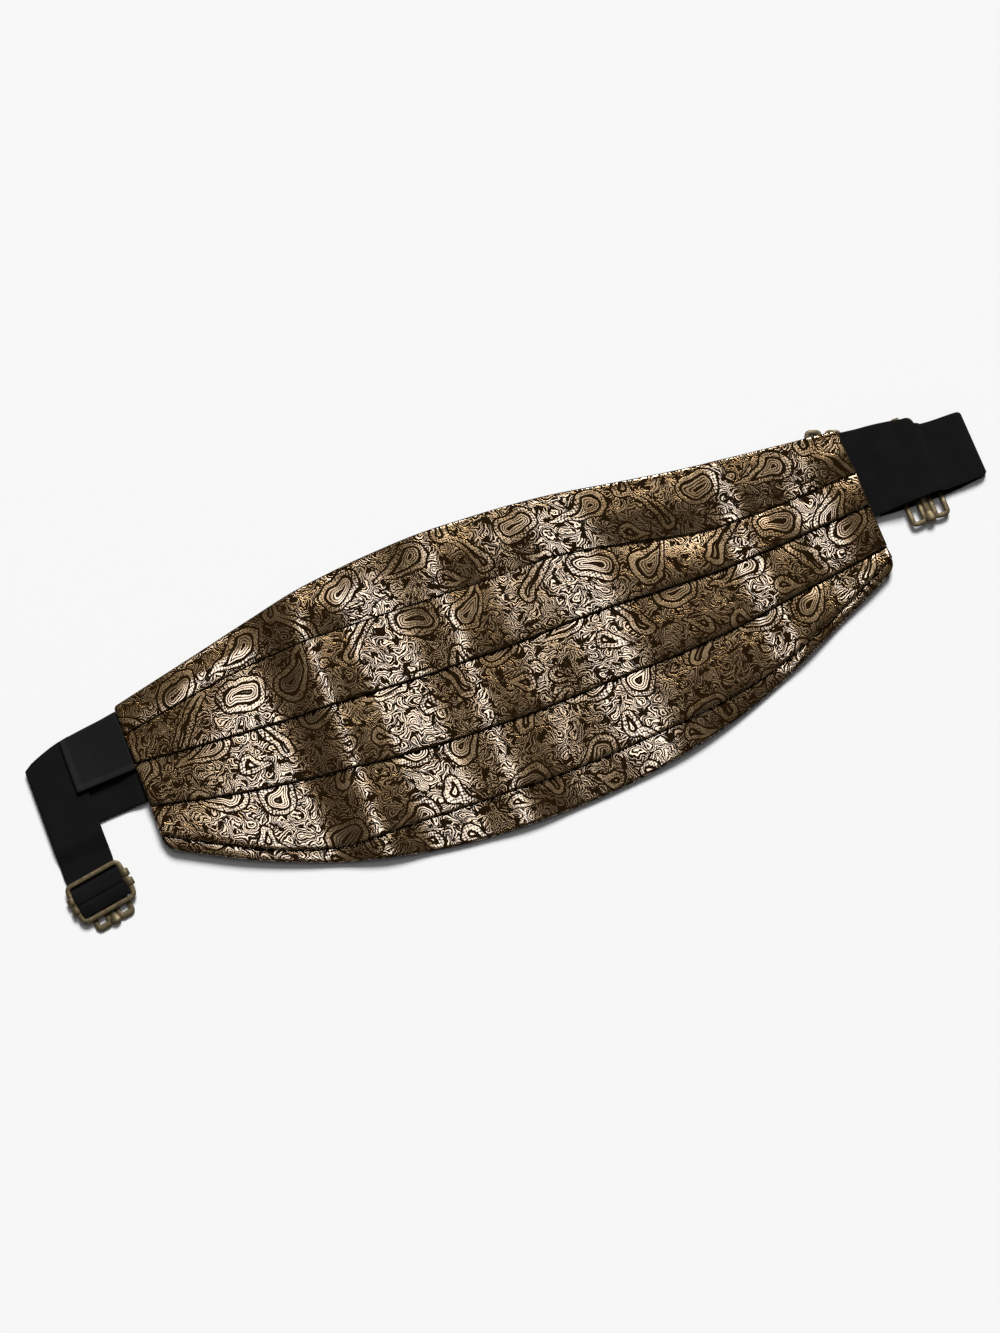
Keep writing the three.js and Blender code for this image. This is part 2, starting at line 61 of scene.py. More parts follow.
# Outline along the panel, as shares of its crown and belly, and the fold lines as shares of its width
SECTIONS = [
    {"at": 0.0, "crown": 0.0, "belly": 0.0, "fold1": 0.2, "fold2": 0.405, "fold3": 0.7, "fold4": 0.91},
    {"at": 0.1, "crown": 0.31, "belly": 0.39, "fold1": 0.165, "fold2": 0.41, "fold3": 0.675, "fold4": 0.94},
    {"at": 0.2, "crown": 0.63, "belly": 0.69, "fold1": 0.164, "fold2": 0.42, "fold3": 0.662, "fold4": 0.944},
    {"at": 0.3, "crown": 0.89, "belly": 0.88, "fold1": 0.19, "fold2": 0.433, "fold3": 0.665, "fold4": 0.9},
    {"at": 0.4, "crown": 1.0, "belly": 0.98, "fold1": 0.21, "fold2": 0.444, "fold3": 0.67, "fold4": 0.884},
    {"at": 0.5, "crown": 0.98, "belly": 1.0, "fold1": 0.217, "fold2": 0.445, "fold3": 0.672, "fold4": 0.887},
    {"at": 0.6, "crown": 0.86, "belly": 0.96, "fold1": 0.212, "fold2": 0.437, "fold3": 0.67, "fold4": 0.893},
    {"at": 0.7, "crown": 0.61, "belly": 0.84, "fold1": 0.243, "fold2": 0.44, "fold3": 0.683, "fold4": 0.91},
    {"at": 0.8, "crown": 0.38, "belly": 0.625, "fold1": 0.288, "fold2": 0.463, "fold3": 0.707, "fold4": 0.94},
    {"at": 0.9, "crown": 0.18, "belly": 0.32, "fold1": 0.305, "fold2": 0.497, "fold3": 0.755, "fold4": 0.95},
    {"at": 1.0, "crown": 0.0, "belly": 0.0, "fold1": 0.318, "fold2": 0.548, "fold3": 0.842, "fold4": 0.93},
]

# Soft waves across the panel, where it stands clear of the surface: shares of its length, rise in metres
WAVES = [
    {"crest": 0.257, "rise": 0.0018, "before": 0.07, "after": 0.065},
    {"crest": 0.445, "rise": 0.0012, "before": 0.07, "after": 0.07},
    {"crest": 0.67, "rise": 0.0014, "before": 0.1, "after": 0.13},
    {"crest": 0.855, "rise": 0.0014, "before": 0.055, "after": 0.07},
]

# Edges of the bands along their reach, as shares of their edges at the panel
LEFT_BAND_EDGES = [
    {"at": 0.0, "upper": 1.0, "lower": 1.0},
    {"at": 0.6, "upper": 0.89, "lower": 1.12},
    {"at": 0.9, "upper": 0.75, "lower": 1.38},
    {"at": 1.0, "upper": 0.66, "lower": 1.46},
]
RIGHT_BAND_EDGES = [
    {"at": 0.0, "upper": 1.0, "lower": 1.0},
    {"at": 0.56, "upper": 0.835, "lower": 0.98},
    {"at": 0.595, "upper": 0.735, "lower": 1.02},
    {"at": 1.0, "upper": 0.69, "lower": 1.0},
]

# A pleat's top: the share of the tuck that it takes to climb over the next pleat, its crown as a share of its
# wall, how flat the first pleat's fold is pressed along the panel, and its ripples in metres
LAP = 0.4
CROWN = 0.12
PRESSED = {"left": 0.55, "right": 0.75, "from": 0.3, "to": 0.6}
RIPPLE = {"along": 0.018, "across": 0.024, "apart": 3.7, "rise": 0.00017}

# Length over which a pleat's ends close, and distances over which the lining comes down from the back hook
CLOSING = 0.0013
HOOK_EASE = {"from": 0.018, "to": 0.075}

# Shares of the wire's thickness that are left in the slides and in the hooks, and how square its section is
SLIDE_FLAT = 0.84
HOOK_FLAT = 0.8
WIRE_SQUARE = 0.62

# Chart of one repeat of the brocade, in millimetres of cloth. Each motif is a curved drop: the middle of its
# spine, the way from its head to its tail in degrees, the spine's length, the radius of its head, the share
# that it loses towards its tail and how far the tail bends aside
REPEAT = (92.0, 78.0)
MOTIFS = [
    {"x": 15, "y": 16, "way": 35, "spine": 20, "radius": 8.8, "taper": 0.87, "bend": 9},
    {"x": 62, "y": 56, "way": 215, "spine": 19, "radius": 8.4, "taper": 0.87, "bend": -9},
    {"x": 44, "y": 20, "way": 62, "spine": 22, "radius": 4.6, "taper": 0.3, "bend": -7},
    {"x": 8, "y": 56, "way": 105, "spine": 20, "radius": 4.5, "taper": 0.35, "bend": 7},
    {"x": 74, "y": 18, "way": 150, "spine": 8, "radius": 8.9, "taper": 0.12, "bend": 2},
    {"x": 32, "y": 60, "way": 15, "spine": 7, "radius": 8.3, "taper": 0.1, "bend": 1},
    {"x": 86, "y": 42, "way": -40, "spine": 10, "radius": 4.8, "taper": 0.8, "bend": 4},
    {"x": 34, "y": 40, "way": 170, "spine": 9, "radius": 4.6, "taper": 0.75, "bend": -3},
    {"x": 88, "y": 70, "way": 70, "spine": 5, "radius": 5.2, "taper": 0.3, "bend": 1},
    {"x": 58, "y": 36, "way": -20, "spine": 6, "radius": 4.9, "taper": 0.4, "bend": -2},
]

# Chart of the small curls that fill the room between the motifs, with their own repeat
CURL_REPEAT = (22.0, 20.0)
CURLS = [
    {"x": 4, "y": 4, "way": 40, "spine": 5.5, "radius": 2.4, "taper": 0.75, "bend": 2.6},
    {"x": 14.5, "y": 5, "way": 150, "spine": 5.0, "radius": 2.1, "taper": 0.75, "bend": -2.4},
    {"x": 9, "y": 11.5, "way": -70, "spine": 6.0, "radius": 2.2, "taper": 0.8, "bend": 2.8},
    {"x": 18, "y": 13.5, "way": 15, "spine": 4.5, "radius": 2.5, "taper": 0.6, "bend": -2.2},
    {"x": 1.5, "y": 16, "way": 100, "spine": 4.0, "radius": 1.9, "taper": 0.7, "bend": 2.0},
]

# How much of the cloth is gold, by the distance from a motif's outline in millimetres, which is less than 0
# inside it: -2 is all ground, 0 is fine lines, 1 is nearly all gold
MOTIF_INK = [
    {"from": -10.0, "ink": 0.5},
    {"from": -8.5, "ink": -1.5},
    {"from": -7.3, "ink": 0.3},
    {"from": -3.9, "ink": -1.5},
    {"from": -2.7, "ink": 0.35},
    {"from": -0.6, "ink": -1.4},
    {"from": 0.5, "ink": 0.0},
]

# The same by the distance from a curl's outline
CURL_INK = [
    {"from": -2.8, "ink": 0.5},
    {"from": -1.9, "ink": -0.9},
    {"from": -1.3, "ink": 0.35},
    {"from": -0.3, "ink": -1.3},
    {"from": 0.35, "ink": 0.25},
    {"from": 1.6, "ink": -0.2},
    {"from": 2.7, "ink": 0.1},
]

# Distances from a motif's outline between which beads stand on the ground, and the pitches of beads and lines
BEADS = {"from": -2.7, "to": -0.6, "pitch": 1.35}
MOTIF_PITCH = 1.2
CURL_PITCH = 1.2

# Where each pleat's strip lies on the repeat, in millimetres of cloth
PLEAT_SHIFTS = [
    {"x": 0, "y": 0},
    {"x": 14, "y": -44},
    {"x": 31, "y": -86},
    {"x": 40, "y": -131},
    {"x": 8, "y": -173},
]

# How noise moves the charts' lines about: the size of its features and how far it moves, in millimetres
DRIFT = {"size": 11.0, "move": 6.0}
JITTER = {"size": 3.6, "move": 3.2}


def length(name, description, default):
    """A size in metres."""
    return FloatProperty(name=name, description=description, default=default, unit="LENGTH", precision=5)


def share(name, description, default):
    """A share of a size."""
    return FloatProperty(name=name, description=description, default=default, min=0.0, max=1.0)


def angle(name, description, degrees):
    """An angle, given in degrees."""
    return FloatProperty(name=name, description=description, default=math.radians(degrees), subtype="ANGLE")


def strength(name, description, default):
    """The strength of a light."""
    return FloatProperty(name=name, description=description, default=default)


def colour(name, description, default):
    """A colour."""
    return FloatVectorProperty(
        name=name, description=description, default=default, size=3, min=0.0, max=1.0, subtype="COLOR"
    )


class PanelSizes(bpy.types.PropertyGroup):
    """Sizes of the pleated panel."""

    end_width: length("End width", "Width of the panel at its ends", 0.075)
    crown: length("Crown", "How far the upper edge bows beyond the ends", 0.027)
    belly: length("Belly", "How far the lower edge bows beyond the ends", 0.053)
    lower_corner: length("Lower corner", "Radius of the lower corners", 0.005)
    upper_corner: length("Upper corner", "Radius of the upper corners", 0.0015)
    pleats: IntProperty(name="Pleats", description="Number of pleats", default=5)
    pleat_wall: length("Pleat", "Thickness of a folded pleat", 0.0015)
    pleat_tuck: share("Tuck", "Share of a pleat that the next one reaches under it", 0.3)
    edge_turn: length("Edge turn", "Rounded upper edge of the first pleat", 0.0025)
    cloth: length("Cloth", "Thickness of the brocade", 0.0004)
    turn_under: length("Turn under", "How far the cloth runs back under a fold", 0.005)
    lining_wall: length("Lining", "Thickness of the lining with its interlining", 0.0012)
    lining_proud: length("Lining proud", "Lining seen beyond the upper edge and the right end", 0.0005)
    lining_inset: length("Lining inset", "Lining kept back from the lower edge", 0.0012)
    gap: length("Gap", "Room between pieces that touch", 0.0003)


class StrapSizes(bpy.types.PropertyGroup):
    """Sizes of the elastic bands, the strap and the label."""

    elastic: length("Elastic", "Thickness of the elastic", 0.0015)
    band_tuck: length("Sewn in", "Length of a band that is sewn in behind the pleats", 0.009)
    left_ease_from: length("Left ease from", "Where the pleats start to come down from the left band", 0.025)
    left_ease_to: length("Left ease to", "Where they lie on the lining again", 0.085)
    right_ease_from: length("Right ease from", "Where they start to come down from the right band", 0.01)
    right_ease_to: length("Right ease to", "Where they lie on the lining again", 0.04)
    left_reach: length("Left reach", "Reach of the left band from the panel", 0.051)
    left_width: length("Left width", "Width of the left band at the panel", 0.0475)
    left_below: length("Left below", "Left band's upper edge below the panel's upper corner", 0.002)
    right_reach: length("Right reach", "Reach of the folded band from the panel", 0.062)
    right_width: length("Right width", "Width of the folded band at the panel", 0.0459)
    right_below: length("Right below", "Right band's upper edge below the panel's upper corner", 0.0011)
    band_drop: length("Drop", "Length over which a band comes down to the surface", 0.012)
    fold_spread: length("Spread", "How far the lower layer shows below the upper one", 0.0018)
    fold_open: length("Fold room", "Room between the layers near the fold", 0.0011)
    strap_width: length("Strap width", "Width of the narrow strap", 0.0254)
    label_length: length("Label length", "Length of the label", 0.0305)
    label_width: length("Label width", "Width of the label", 0.03)
    label_wall: length("Label", "Thickness of the folded label", 0.001)
    label_taper: length("Label taper", "How much narrower the label's free end is", 0.003)
    label_below: length("Label below", "Label's upper edge below the band's", 0.001)
    label_fall: length("Label fall", "How far the label's upper edge comes down", 0.004)


class WireSizes(bpy.types.PropertyGroup):
    """Sizes of the wire slides and hooks."""

    wire: length("Wire", "Thickness of the wire", 0.0018)
    wire_width: length("Wire width", "Width of the flattened wire", 0.0025)
    toe_width: length("Toe width", "Width of the wire at the toe of the left hook's loops", 0.0032)
    slide_depth: length("Slide depth", "Depth of a slide along the strap", 0.0208)
    slide_corner: length("Slide corner", "Corner radius of a slide", 0.0025)
    plate_width: length("Plate width", "Width of the plate across a slide", 0.009)
    plate_wall: length("Plate", "Thickness of the plate", 0.0009)
    claw_wall: length("Claw", "Thickness of a claw", 0.0005)
    claw_length: length("Claw length", "Length of a claw along the wire", 0.004)
    claw_reach: length("Claw reach", "How far a claw stands out from the wire", 0.0027)
    loop_width: length("Loop width", "Width of a hook's loop", 0.008)
    loop_corner: length("Loop corner", "Corner radius of a loop", 0.0024)
    tongue_width: length("Tongue width", "Width of the tongue's tip", 0.0052)
    tongue_stem: length("Tongue stem", "Width of the tongue between the loops", 0.0032)
    tongue_wall: length("Tongue", "Thickness of the tongue", 0.0011)
    tongue_lead: length("Tongue lead", "How far the tongue passes the loops", 0.002)
    tongue_tip: length("Tongue tip", "How far its rounded tip shows past the loops", 0.0006)
    tongue_rise: length("Tongue rise", "How far the tongue's tip rises", 0.0006)
    reach: length("Reach", "Reach of the hook on the left slide", 0.0165)
    side_reach: length("Side reach", "Reach of the hook below the folded band", 0.0175)
    back_reach: length("Back reach", "Reach of the hook under the lining", 0.015)
    spacing: length("Spacing", "Distance between the loops' middles", 0.012)
    back_spacing: length("Back spacing", "The same on the hook under the lining", 0.0098)
    left_turn: angle("Left turn", "Turn of the left slide", 8.5)
    back_turn: angle("Back turn", "Turn of the back hook", 158.6)
    back_inside: length("Back inside", "Back hook's bar in from the panel's right end", 0.011)
    back_below: length("Back below", "Back hook's bar below the panel's upper corner", 0.0102)


class Finishes(bpy.types.PropertyGroup):
    """Colours of the cloths and the metal."""

    ground: colour("Ground", "Ground of the brocade", (0.017, 0.0086, 0.0022))
    bronze: colour("Bronze", "Darker gold thread", (0.19, 0.1, 0.03))
    champagne: colour("Champagne", "Lighter gold thread", (0.31, 0.2, 0.09))
    lining: colour("Lining", "Plain lining", (0.010, 0.0095, 0.0095))
    elastic: colour("Elastic", "Black elastic", (0.0035, 0.0035, 0.0038))
    satin: colour("Satin", "Black satin of the label", (0.003, 0.003, 0.0034))
    brass: colour("Brass", "Worn antique brass", (0.125, 0.095, 0.048))
    patina: colour("Patina", "Dark patina on the brass", (0.085, 0.063, 0.034))
    floor: colour("Floor", "Pale floor", (0.96, 0.96, 0.96))


class StageSettings(bpy.types.PropertyGroup):
    """The camera, the light and the floor."""

    elevation: angle("Elevation", "Camera's angle over the floor", 78)
    heading: angle("Heading", "Turn of the panel in the view", 21.417)
    distance: length("Distance", "Camera's distance from its target", 1.4)
    view_height: length("View height", "Height of the view at the target", 0.65317)
    target_x: length("Target X", "Where the camera looks, along the panel", -0.0117)
    target_y: length("Target Y", "Where the camera looks, across the panel", 0.001)
    key_strength: strength("Key", "Strength of the slanting light", 3.7)
    key_elevation: angle("Key elevation", "Angle of the slanting light", 45)
    key_softness: angle("Key softness", "Angle that the light fills", 22)
    glow_power: strength("Glow", "Power of the light over it", 7.8)
    sky: strength("Sky", "Strength of the even light", 0.06)
    key_aside: share("Key aside", "How far the slanting light leans to the right", 0.06)
    light_height: length("Light height", "Height of the lights over the floor", 3.0)
    glow_width: length("Glow width", "Width of the light over it", 0.18)
    glow_length: length("Glow length", "Length of the light over it", 1.6)
    glow_up: length("Glow up", "How far that light stands towards the upper edge", 0.62)
    glow_left: length("Glow left", "How far that light stands to the left", 0.15)


# Plain shapes of numbers


def smooth(low, high, value):
    """Eases from 0 at low to 1 at high."""
    t = min(1.0, max(0.0, (value - low) / (high - low)))
    return t * t * (3 - 2 * t)


def mix(a, b, t):
    """Goes from a to b."""
    return a + (b - a) * t


def curve(a, rise_a, b, rise_b, t):
    """A smooth curve from a to b that leaves and arrives with the rises given."""
    return (
        (2 * t**3 - 3 * t**2 + 1) * a
        + (t**3 - 2 * t**2 + t) * rise_a
        + (3 * t**2 - 2 * t**3) * b
        + (t**3 - t**2) * rise_b
    )


def column(table, name, at):
    """Reads a column of a table at a share of its length, along a smooth curve through its rows."""
    last = len(table) - 1
    i = next((k for k, row in enumerate(table) if row["at"] >= at), last + 1) - 1
    i = min(max(i, 0), last - 1)

    def row(k):
        return table[min(max(k, 0), last)]

    span = row(i + 1)["at"] - row(i)["at"]
    t = (at - row(i)["at"]) / span

    def slope(k):
        return (row(k + 1)[name] - row(k - 1)[name]) / (row(k + 1)["at"] - row(k - 1)["at"]) * span

    return curve(row(i)[name], slope(i), row(i + 1)[name], slope(i + 1), t)


class Route:
    """A smooth line through a few points (along, z), read by the share of its length."""

    FINE = 24

    def __init__(self, points):
        """Lays the line through the points."""
        self.points = [Vector(p) for p in points]
        self.line = []
        for i in range(len(points) - 1):
            for j in range(self.FINE):
                self.line.append(self._at(i, j / self.FINE))
        self.line.append(self.points[-1])
        self.runs = [0.0]
        for a, b in zip(self.line, self.line[1:]):
            self.runs.append(self.runs[-1] + (b - a).length)

    def _at(self, i, t):
        last = len(self.points) - 1
        p = [self.points[min(max(k, 0), last)] for k in (i - 1, i, i + 1, i + 2)]
        span = (p[2] - p[1]).length
        before = (p[2] - p[0]) / max((p[2] - p[1]).length + (p[1] - p[0]).length, 1e-9) * span
        after = (p[3] - p[1]) / max((p[3] - p[2]).length + (p[2] - p[1]).length, 1e-9) * span
        return curve(p[1], before, p[2], after, t)

    @property
    def length(self):
        """Its whole length."""
        return self.runs[-1]

    def at(self, part):
        """The point at a share of its length."""
        run = part * self.length
        i = next((k for k, r in enumerate(self.runs) if r >= run), len(self.runs) - 1)
        i = max(i, 1)
        span = self.runs[i] - self.runs[i - 1]
        return self.line[i - 1].lerp(self.line[i], (run - self.runs[i - 1]) / max(span, 1e-9))


class Panel:
    """The panel's outline, folds and heights, in metres from its left end and its middle line."""

    def __init__(self, scene):
        """Takes the sizes and finds the panel's place in the frame."""
        self.sizes = scene.panel_sizes
        self.straps = scene.strap_sizes
        low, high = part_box("pleat_1")
        self.length = high.x - low.x
        self.left = low.x
        steps = 64
        self.middle = high.y - max(self.line(0, self.length * i / steps) for i in range(steps + 1))
        self.on_lining = self.sizes.lining_wall + self.sizes.gap
        self.corner = self.sizes.end_width / 2

    def place(self, x, y, z):
        """A point of the panel as a point in the frame."""
        return Vector((self.left + x, self.middle + y, z))

    def corner_pull(self, radius, x):
        """How far a round corner pulls an edge in."""
        d = max(0.0, min(x, self.length - x))
        return 0.0 if d >= radius else radius - math.sqrt(radius**2 - (radius - d) ** 2)

    def line(self, k, x):
        """Height of line k across the panel: 0 is the upper edge, the last the lower edge, the rest folds."""
        sizes = self.sizes
        at = x / self.length
        upper = sizes.end_width / 2 + sizes.crown * column(SECTIONS, "crown", at)
        lower = -sizes.end_width / 2 - sizes.belly * column(SECTIONS, "belly", at)
        if k == 0:
            return upper - self.corner_pull(sizes.upper_corner, x)
        if k == sizes.pleats:
            last = sizes.end_width * (1 - column(SECTIONS, f"fold{sizes.pleats - 1}", round(at)))
            return lower + self.corner_pull(min(sizes.lower_corner, 0.9 * last), x)
        return upper + (lower - upper) * column(SECTIONS, f"fold{k}", at)

    def base(self, x, y):
        """Height of the lining's under side over the surface."""
        z = 0.0
        for wave in WAVES:
            t = x / self.length - wave["crest"]
            t /= wave["before"] if t < 0 else wave["after"]
            if abs(t) < 1:
                z += wave["rise"] * (1 + math.cos(math.pi * t)) / 2
        wires = bpy.context.scene.wire_sizes
        hook = (self.length - wires.back_inside, self.corner - wires.back_below)
        far = math.hypot(x - hook[0], y - hook[1] - wires.back_reach / 2)
        near = 1 - smooth(HOOK_EASE["from"], HOOK_EASE["to"], far)
        over_hook = (wires.wire + 1.3 * self.sizes.gap) * near
        return max(z, over_hook)

    def band_lift(self, x):
        """Extra height of the pleats over a sewn-in band near each end."""
        straps = self.straps
        level = straps.elastic + self.sizes.gap
        left = 1 - smooth(straps.left_ease_from, straps.left_ease_to, x)
        right = 1 - smooth(straps.right_ease_from, straps.right_ease_to, self.length - x)
        return level * max(left, right)

    def stations(self, even):
        """Distances along the panel, closer in the rounded corners."""
        corner = self.sizes.lower_corner
        turns = [corner * (1 - math.cos(math.radians(a))) for a in range(0, 90, 10)]
        between = self.length - 2 * corner
        inner = [corner + between * i / even for i in range(even + 1)]
        return turns + inner + [self.length - d for d in reversed(turns)]


# Making meshes


def add_piece(name, bm, material, stands_for=(), modifiers=()):
    """A finished piece that rides on the model and stands for CAD nodes."""
    mesh = bpy.data.meshes.new(name)
    for face in bm.faces:
        face.smooth = True
    bm.to_mesh(mesh)
    bm.free()
    piece = bpy.data.objects.new(name, mesh)
    bpy.context.scene.collection.objects.link(piece)
    mesh.materials.append(material)
    for kind, settings in modifiers:
        modifier = piece.modifiers.new(kind.title(), kind)
        for key, value in settings.items():
            setattr(modifier, key, value)
    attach(piece, "root")
    if stands_for:
        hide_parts(*stands_for)
    return piece


def cloth_grid(columns, rows, place):
    """A sheet of cells whose points are put in place by their column and row, with a map of its cloth."""
    bm = bmesh.new()
    bmesh.ops.create_grid(bm, x_segments=columns, y_segments=rows, size=1)
    layer = bm.loops.layers.uv.new("cloth")
    cloth = {}
    for vert in bm.verts:
        u = round((vert.co.x + 1) / 2 * columns)
        v = round((vert.co.y + 1) / 2 * rows)
        vert.co, cloth[vert] = place(u, v)
    for face in bm.faces:
        for loop in face.loops:
            loop[layer].uv = cloth[loop.vert]
    return bm


def strip_area(xs, widths):
    """Area of a strip of cloth from its widths along it."""
    return sum((b - a) * (widths[i] + widths[i + 1]) / 2 for i, (a, b) in enumerate(zip(xs, xs[1:])))


def solid_cloth(wall):
    """The modifier that gives cloth its thickness."""
    settings = {"thickness": wall, "offset": -1, "use_even_offset": True, "use_quality_normals": True}
    return ("SOLIDIFY", settings)


def soft_edge(width):
    """The modifier that rounds the edges of thick cloth."""
    settings = {"width": width, "segments": 3, "limit_method": "ANGLE", "angle_limit": math.radians(50)}
    return ("BEVEL", settings)


def pleat_rows(panel, k, x):
    """Cross-section of a pleat at x, from its hidden upper edge to the end of its turn under: (y, z)."""
    sizes = panel.sizes
    folds = sizes.pleats
    wall = sizes.pleat_wall
    half = wall / 2
    lowest = panel.line(k, x)
    upper = panel.line(0, x)
    start = upper - sizes.edge_turn if k == 1 else panel.line(k - 1, x)
    above = panel.line(k - 1, x)
    lap = lowest + LAP * sizes.pleat_tuck * (above - lowest)
    rise = wall + sizes.gap if k < folds else 0.0
    along = smooth(PRESSED["from"], PRESSED["to"], x / panel.length)
    pressed = mix(PRESSED["left"], PRESSED["right"], along) if k == 1 else 0.0

    def under(y):
        t = min(1.0, max(0.0, (start - y) / max(start - lap, MM)))
        return panel.base(x, y) + panel.on_lining + panel.band_lift(x) + rise * t * (1.2 - 0.2 * t)

    def top(y):
        t = min(1.0, max(0.0, (start - y) / max(start - lowest, MM)))
        crown = CROWN * wall * math.sin(math.pi * t) - pressed * wall * smooth(0.4, 1.0, t)
        spot = Vector((x / RIPPLE["along"], y / RIPPLE["across"], RIPPLE["apart"] * k))
        ripple = noise.noise(spot) * RIPPLE["rise"]
        return under(y) + wall + crown + ripple * math.sin(math.pi * t)

    rows = []
    turn_steps = 6
    if k == 1:
        first = upper - half
        rows.append((first - sizes.turn_under, under(first)))
        for i in range(turn_steps + 1):
            a = math.pi * i / turn_steps
            rows.append((first + half * math.sin(a), under(first) + half * (1 - math.cos(a))))
        body_from = first
    else:
        highest = start + sizes.pleat_tuck * (panel.line(k - 2, x) - start)
        for t in (0.0, 0.5):
            rows.append((mix(highest, start, t), under(start) + wall * mix(0.7, 1.0, t)))
        rows.append((start, top(start)))
        body_from = start
    half *= 1 - pressed
    last = lowest + half
    body_steps = 20
    for i in range(1, body_steps + 1):
        y = mix(body_from, last, i / body_steps)
        rows.append((y, top(y)))
    z = top(last)
    for i in range(1, turn_steps + 1):
        a = math.pi * i / turn_steps
        rows.append((last - half * math.sin(a), z - half * (1 - math.cos(a))))
    for t in (0.5, 1.0):
        y = last + t * sizes.turn_under
        rows.append((y, min(z - 2 * half, under(y))))
    return rows


def pleat(panel, k, material):
    """One pleat of brocade, from its tuck to the turn under its fold."""
    sizes = panel.sizes
    xs = panel.stations(186)
    sections = []
    for x in xs:
        rows = pleat_rows(panel, k, x)
        d = min(x, panel.length - x)
        part = math.sqrt(max(0.0, 1 - (1 - min(1.0, d / CLOSING)) ** 2))
        bottom = min(z for y, z in rows)
        shut = bottom + 2 * sizes.cloth
        runs = [0.0]
        for a, b in zip(rows, rows[1:]):
            runs.append(runs[-1] + math.hypot(b[0] - a[0], b[1] - a[1]))
        sections.append(([(y, z if z <= shut else mix(shut, z, part)) for y, z in rows], runs))
    count = len(sections[0][0]) - 1
    shift = PLEAT_SHIFTS[(k - 1) % len(PLEAT_SHIFTS)]

    def place(u, v):
        rows, runs = sections[u]
        y, z = rows[count - v]
        return panel.place(xs[u], y, z), (xs[u] + shift["x"] * MM, shift["y"] * MM - runs[count - v])

    bm = cloth_grid(len(xs) - 1, count, place)
    piece = add_piece(
        f"pleat_{k}_cloth", bm, material, [f"pleat_{k}"], [solid_cloth(sizes.cloth)]
    )
    widths = [runs[-1] for rows, runs in sections]
    strip_area(xs, widths)
    return piece


def lining(panel, material):
    """The plain lining with its interlining."""
    sizes = panel.sizes
    xs = panel.stations(96)
    rows = 16
    last = len(xs) - 1

    def place(u, v):
        x = xs[u]
        low = panel.line(sizes.pleats, x) + sizes.lining_inset
        y = mix(low, panel.line(0, x) + sizes.lining_proud, v / rows)
        proud = sizes.lining_proud if u == last else 0.0
        return panel.place(x + proud, y, panel.base(x, y) + sizes.lining_wall), (x, y)

    bm = cloth_grid(last, rows, place)
    modifiers = [solid_cloth(sizes.lining_wall), soft_edge(0.0003)]
    piece = add_piece("back_lining_cloth", bm, material, ["back_lining"], modifiers)
    heights = [panel.line(0, x) - panel.line(sizes.pleats, x) for x in xs]
    strip_area(xs, heights)
    return piece


def band_edges(panel):
    """The bands' upper and lower edges at the panel's ends."""
    straps = panel.straps
    left_upper = panel.corner - straps.left_below
    right_upper = panel.corner - straps.right_below
    return {
        "left_upper": left_upper,
        "left_lower": straps.left_width - left_upper,
        "right_upper": right_upper,
        "right_lower": straps.right_width - right_upper,
    }


def left_band(panel, material):
    """Wide elastic band at the left end."""
    straps = panel.straps
    edges = band_edges(panel)
    columns, rows = 40, 16

    def place(u, v):
        out = mix(straps.left_reach, -straps.band_tuck, u / columns)
        at = max(0.0, out) / straps.left_reach
        upper = edges["left_upper"] * column(LEFT_BAND_EDGES, "upper", at)
        lower = -edges["left_lower"] * column(LEFT_BAND_EDGES, "lower", at)
        y = mix(lower, upper, v / rows)
        z = panel.on_lining * (1 - smooth(MM, straps.band_drop, out)) + panel.base(max(0.0, -out), y)
        return panel.place(-out, y, z + straps.elastic), (out, y)

    bm = cloth_grid(columns, rows, place)
    modifiers = [solid_cloth(straps.elastic), soft_edge(0.0004)]
    piece = add_piece("left_band_elastic", bm, material, ["left_band"], modifiers)
    return piece


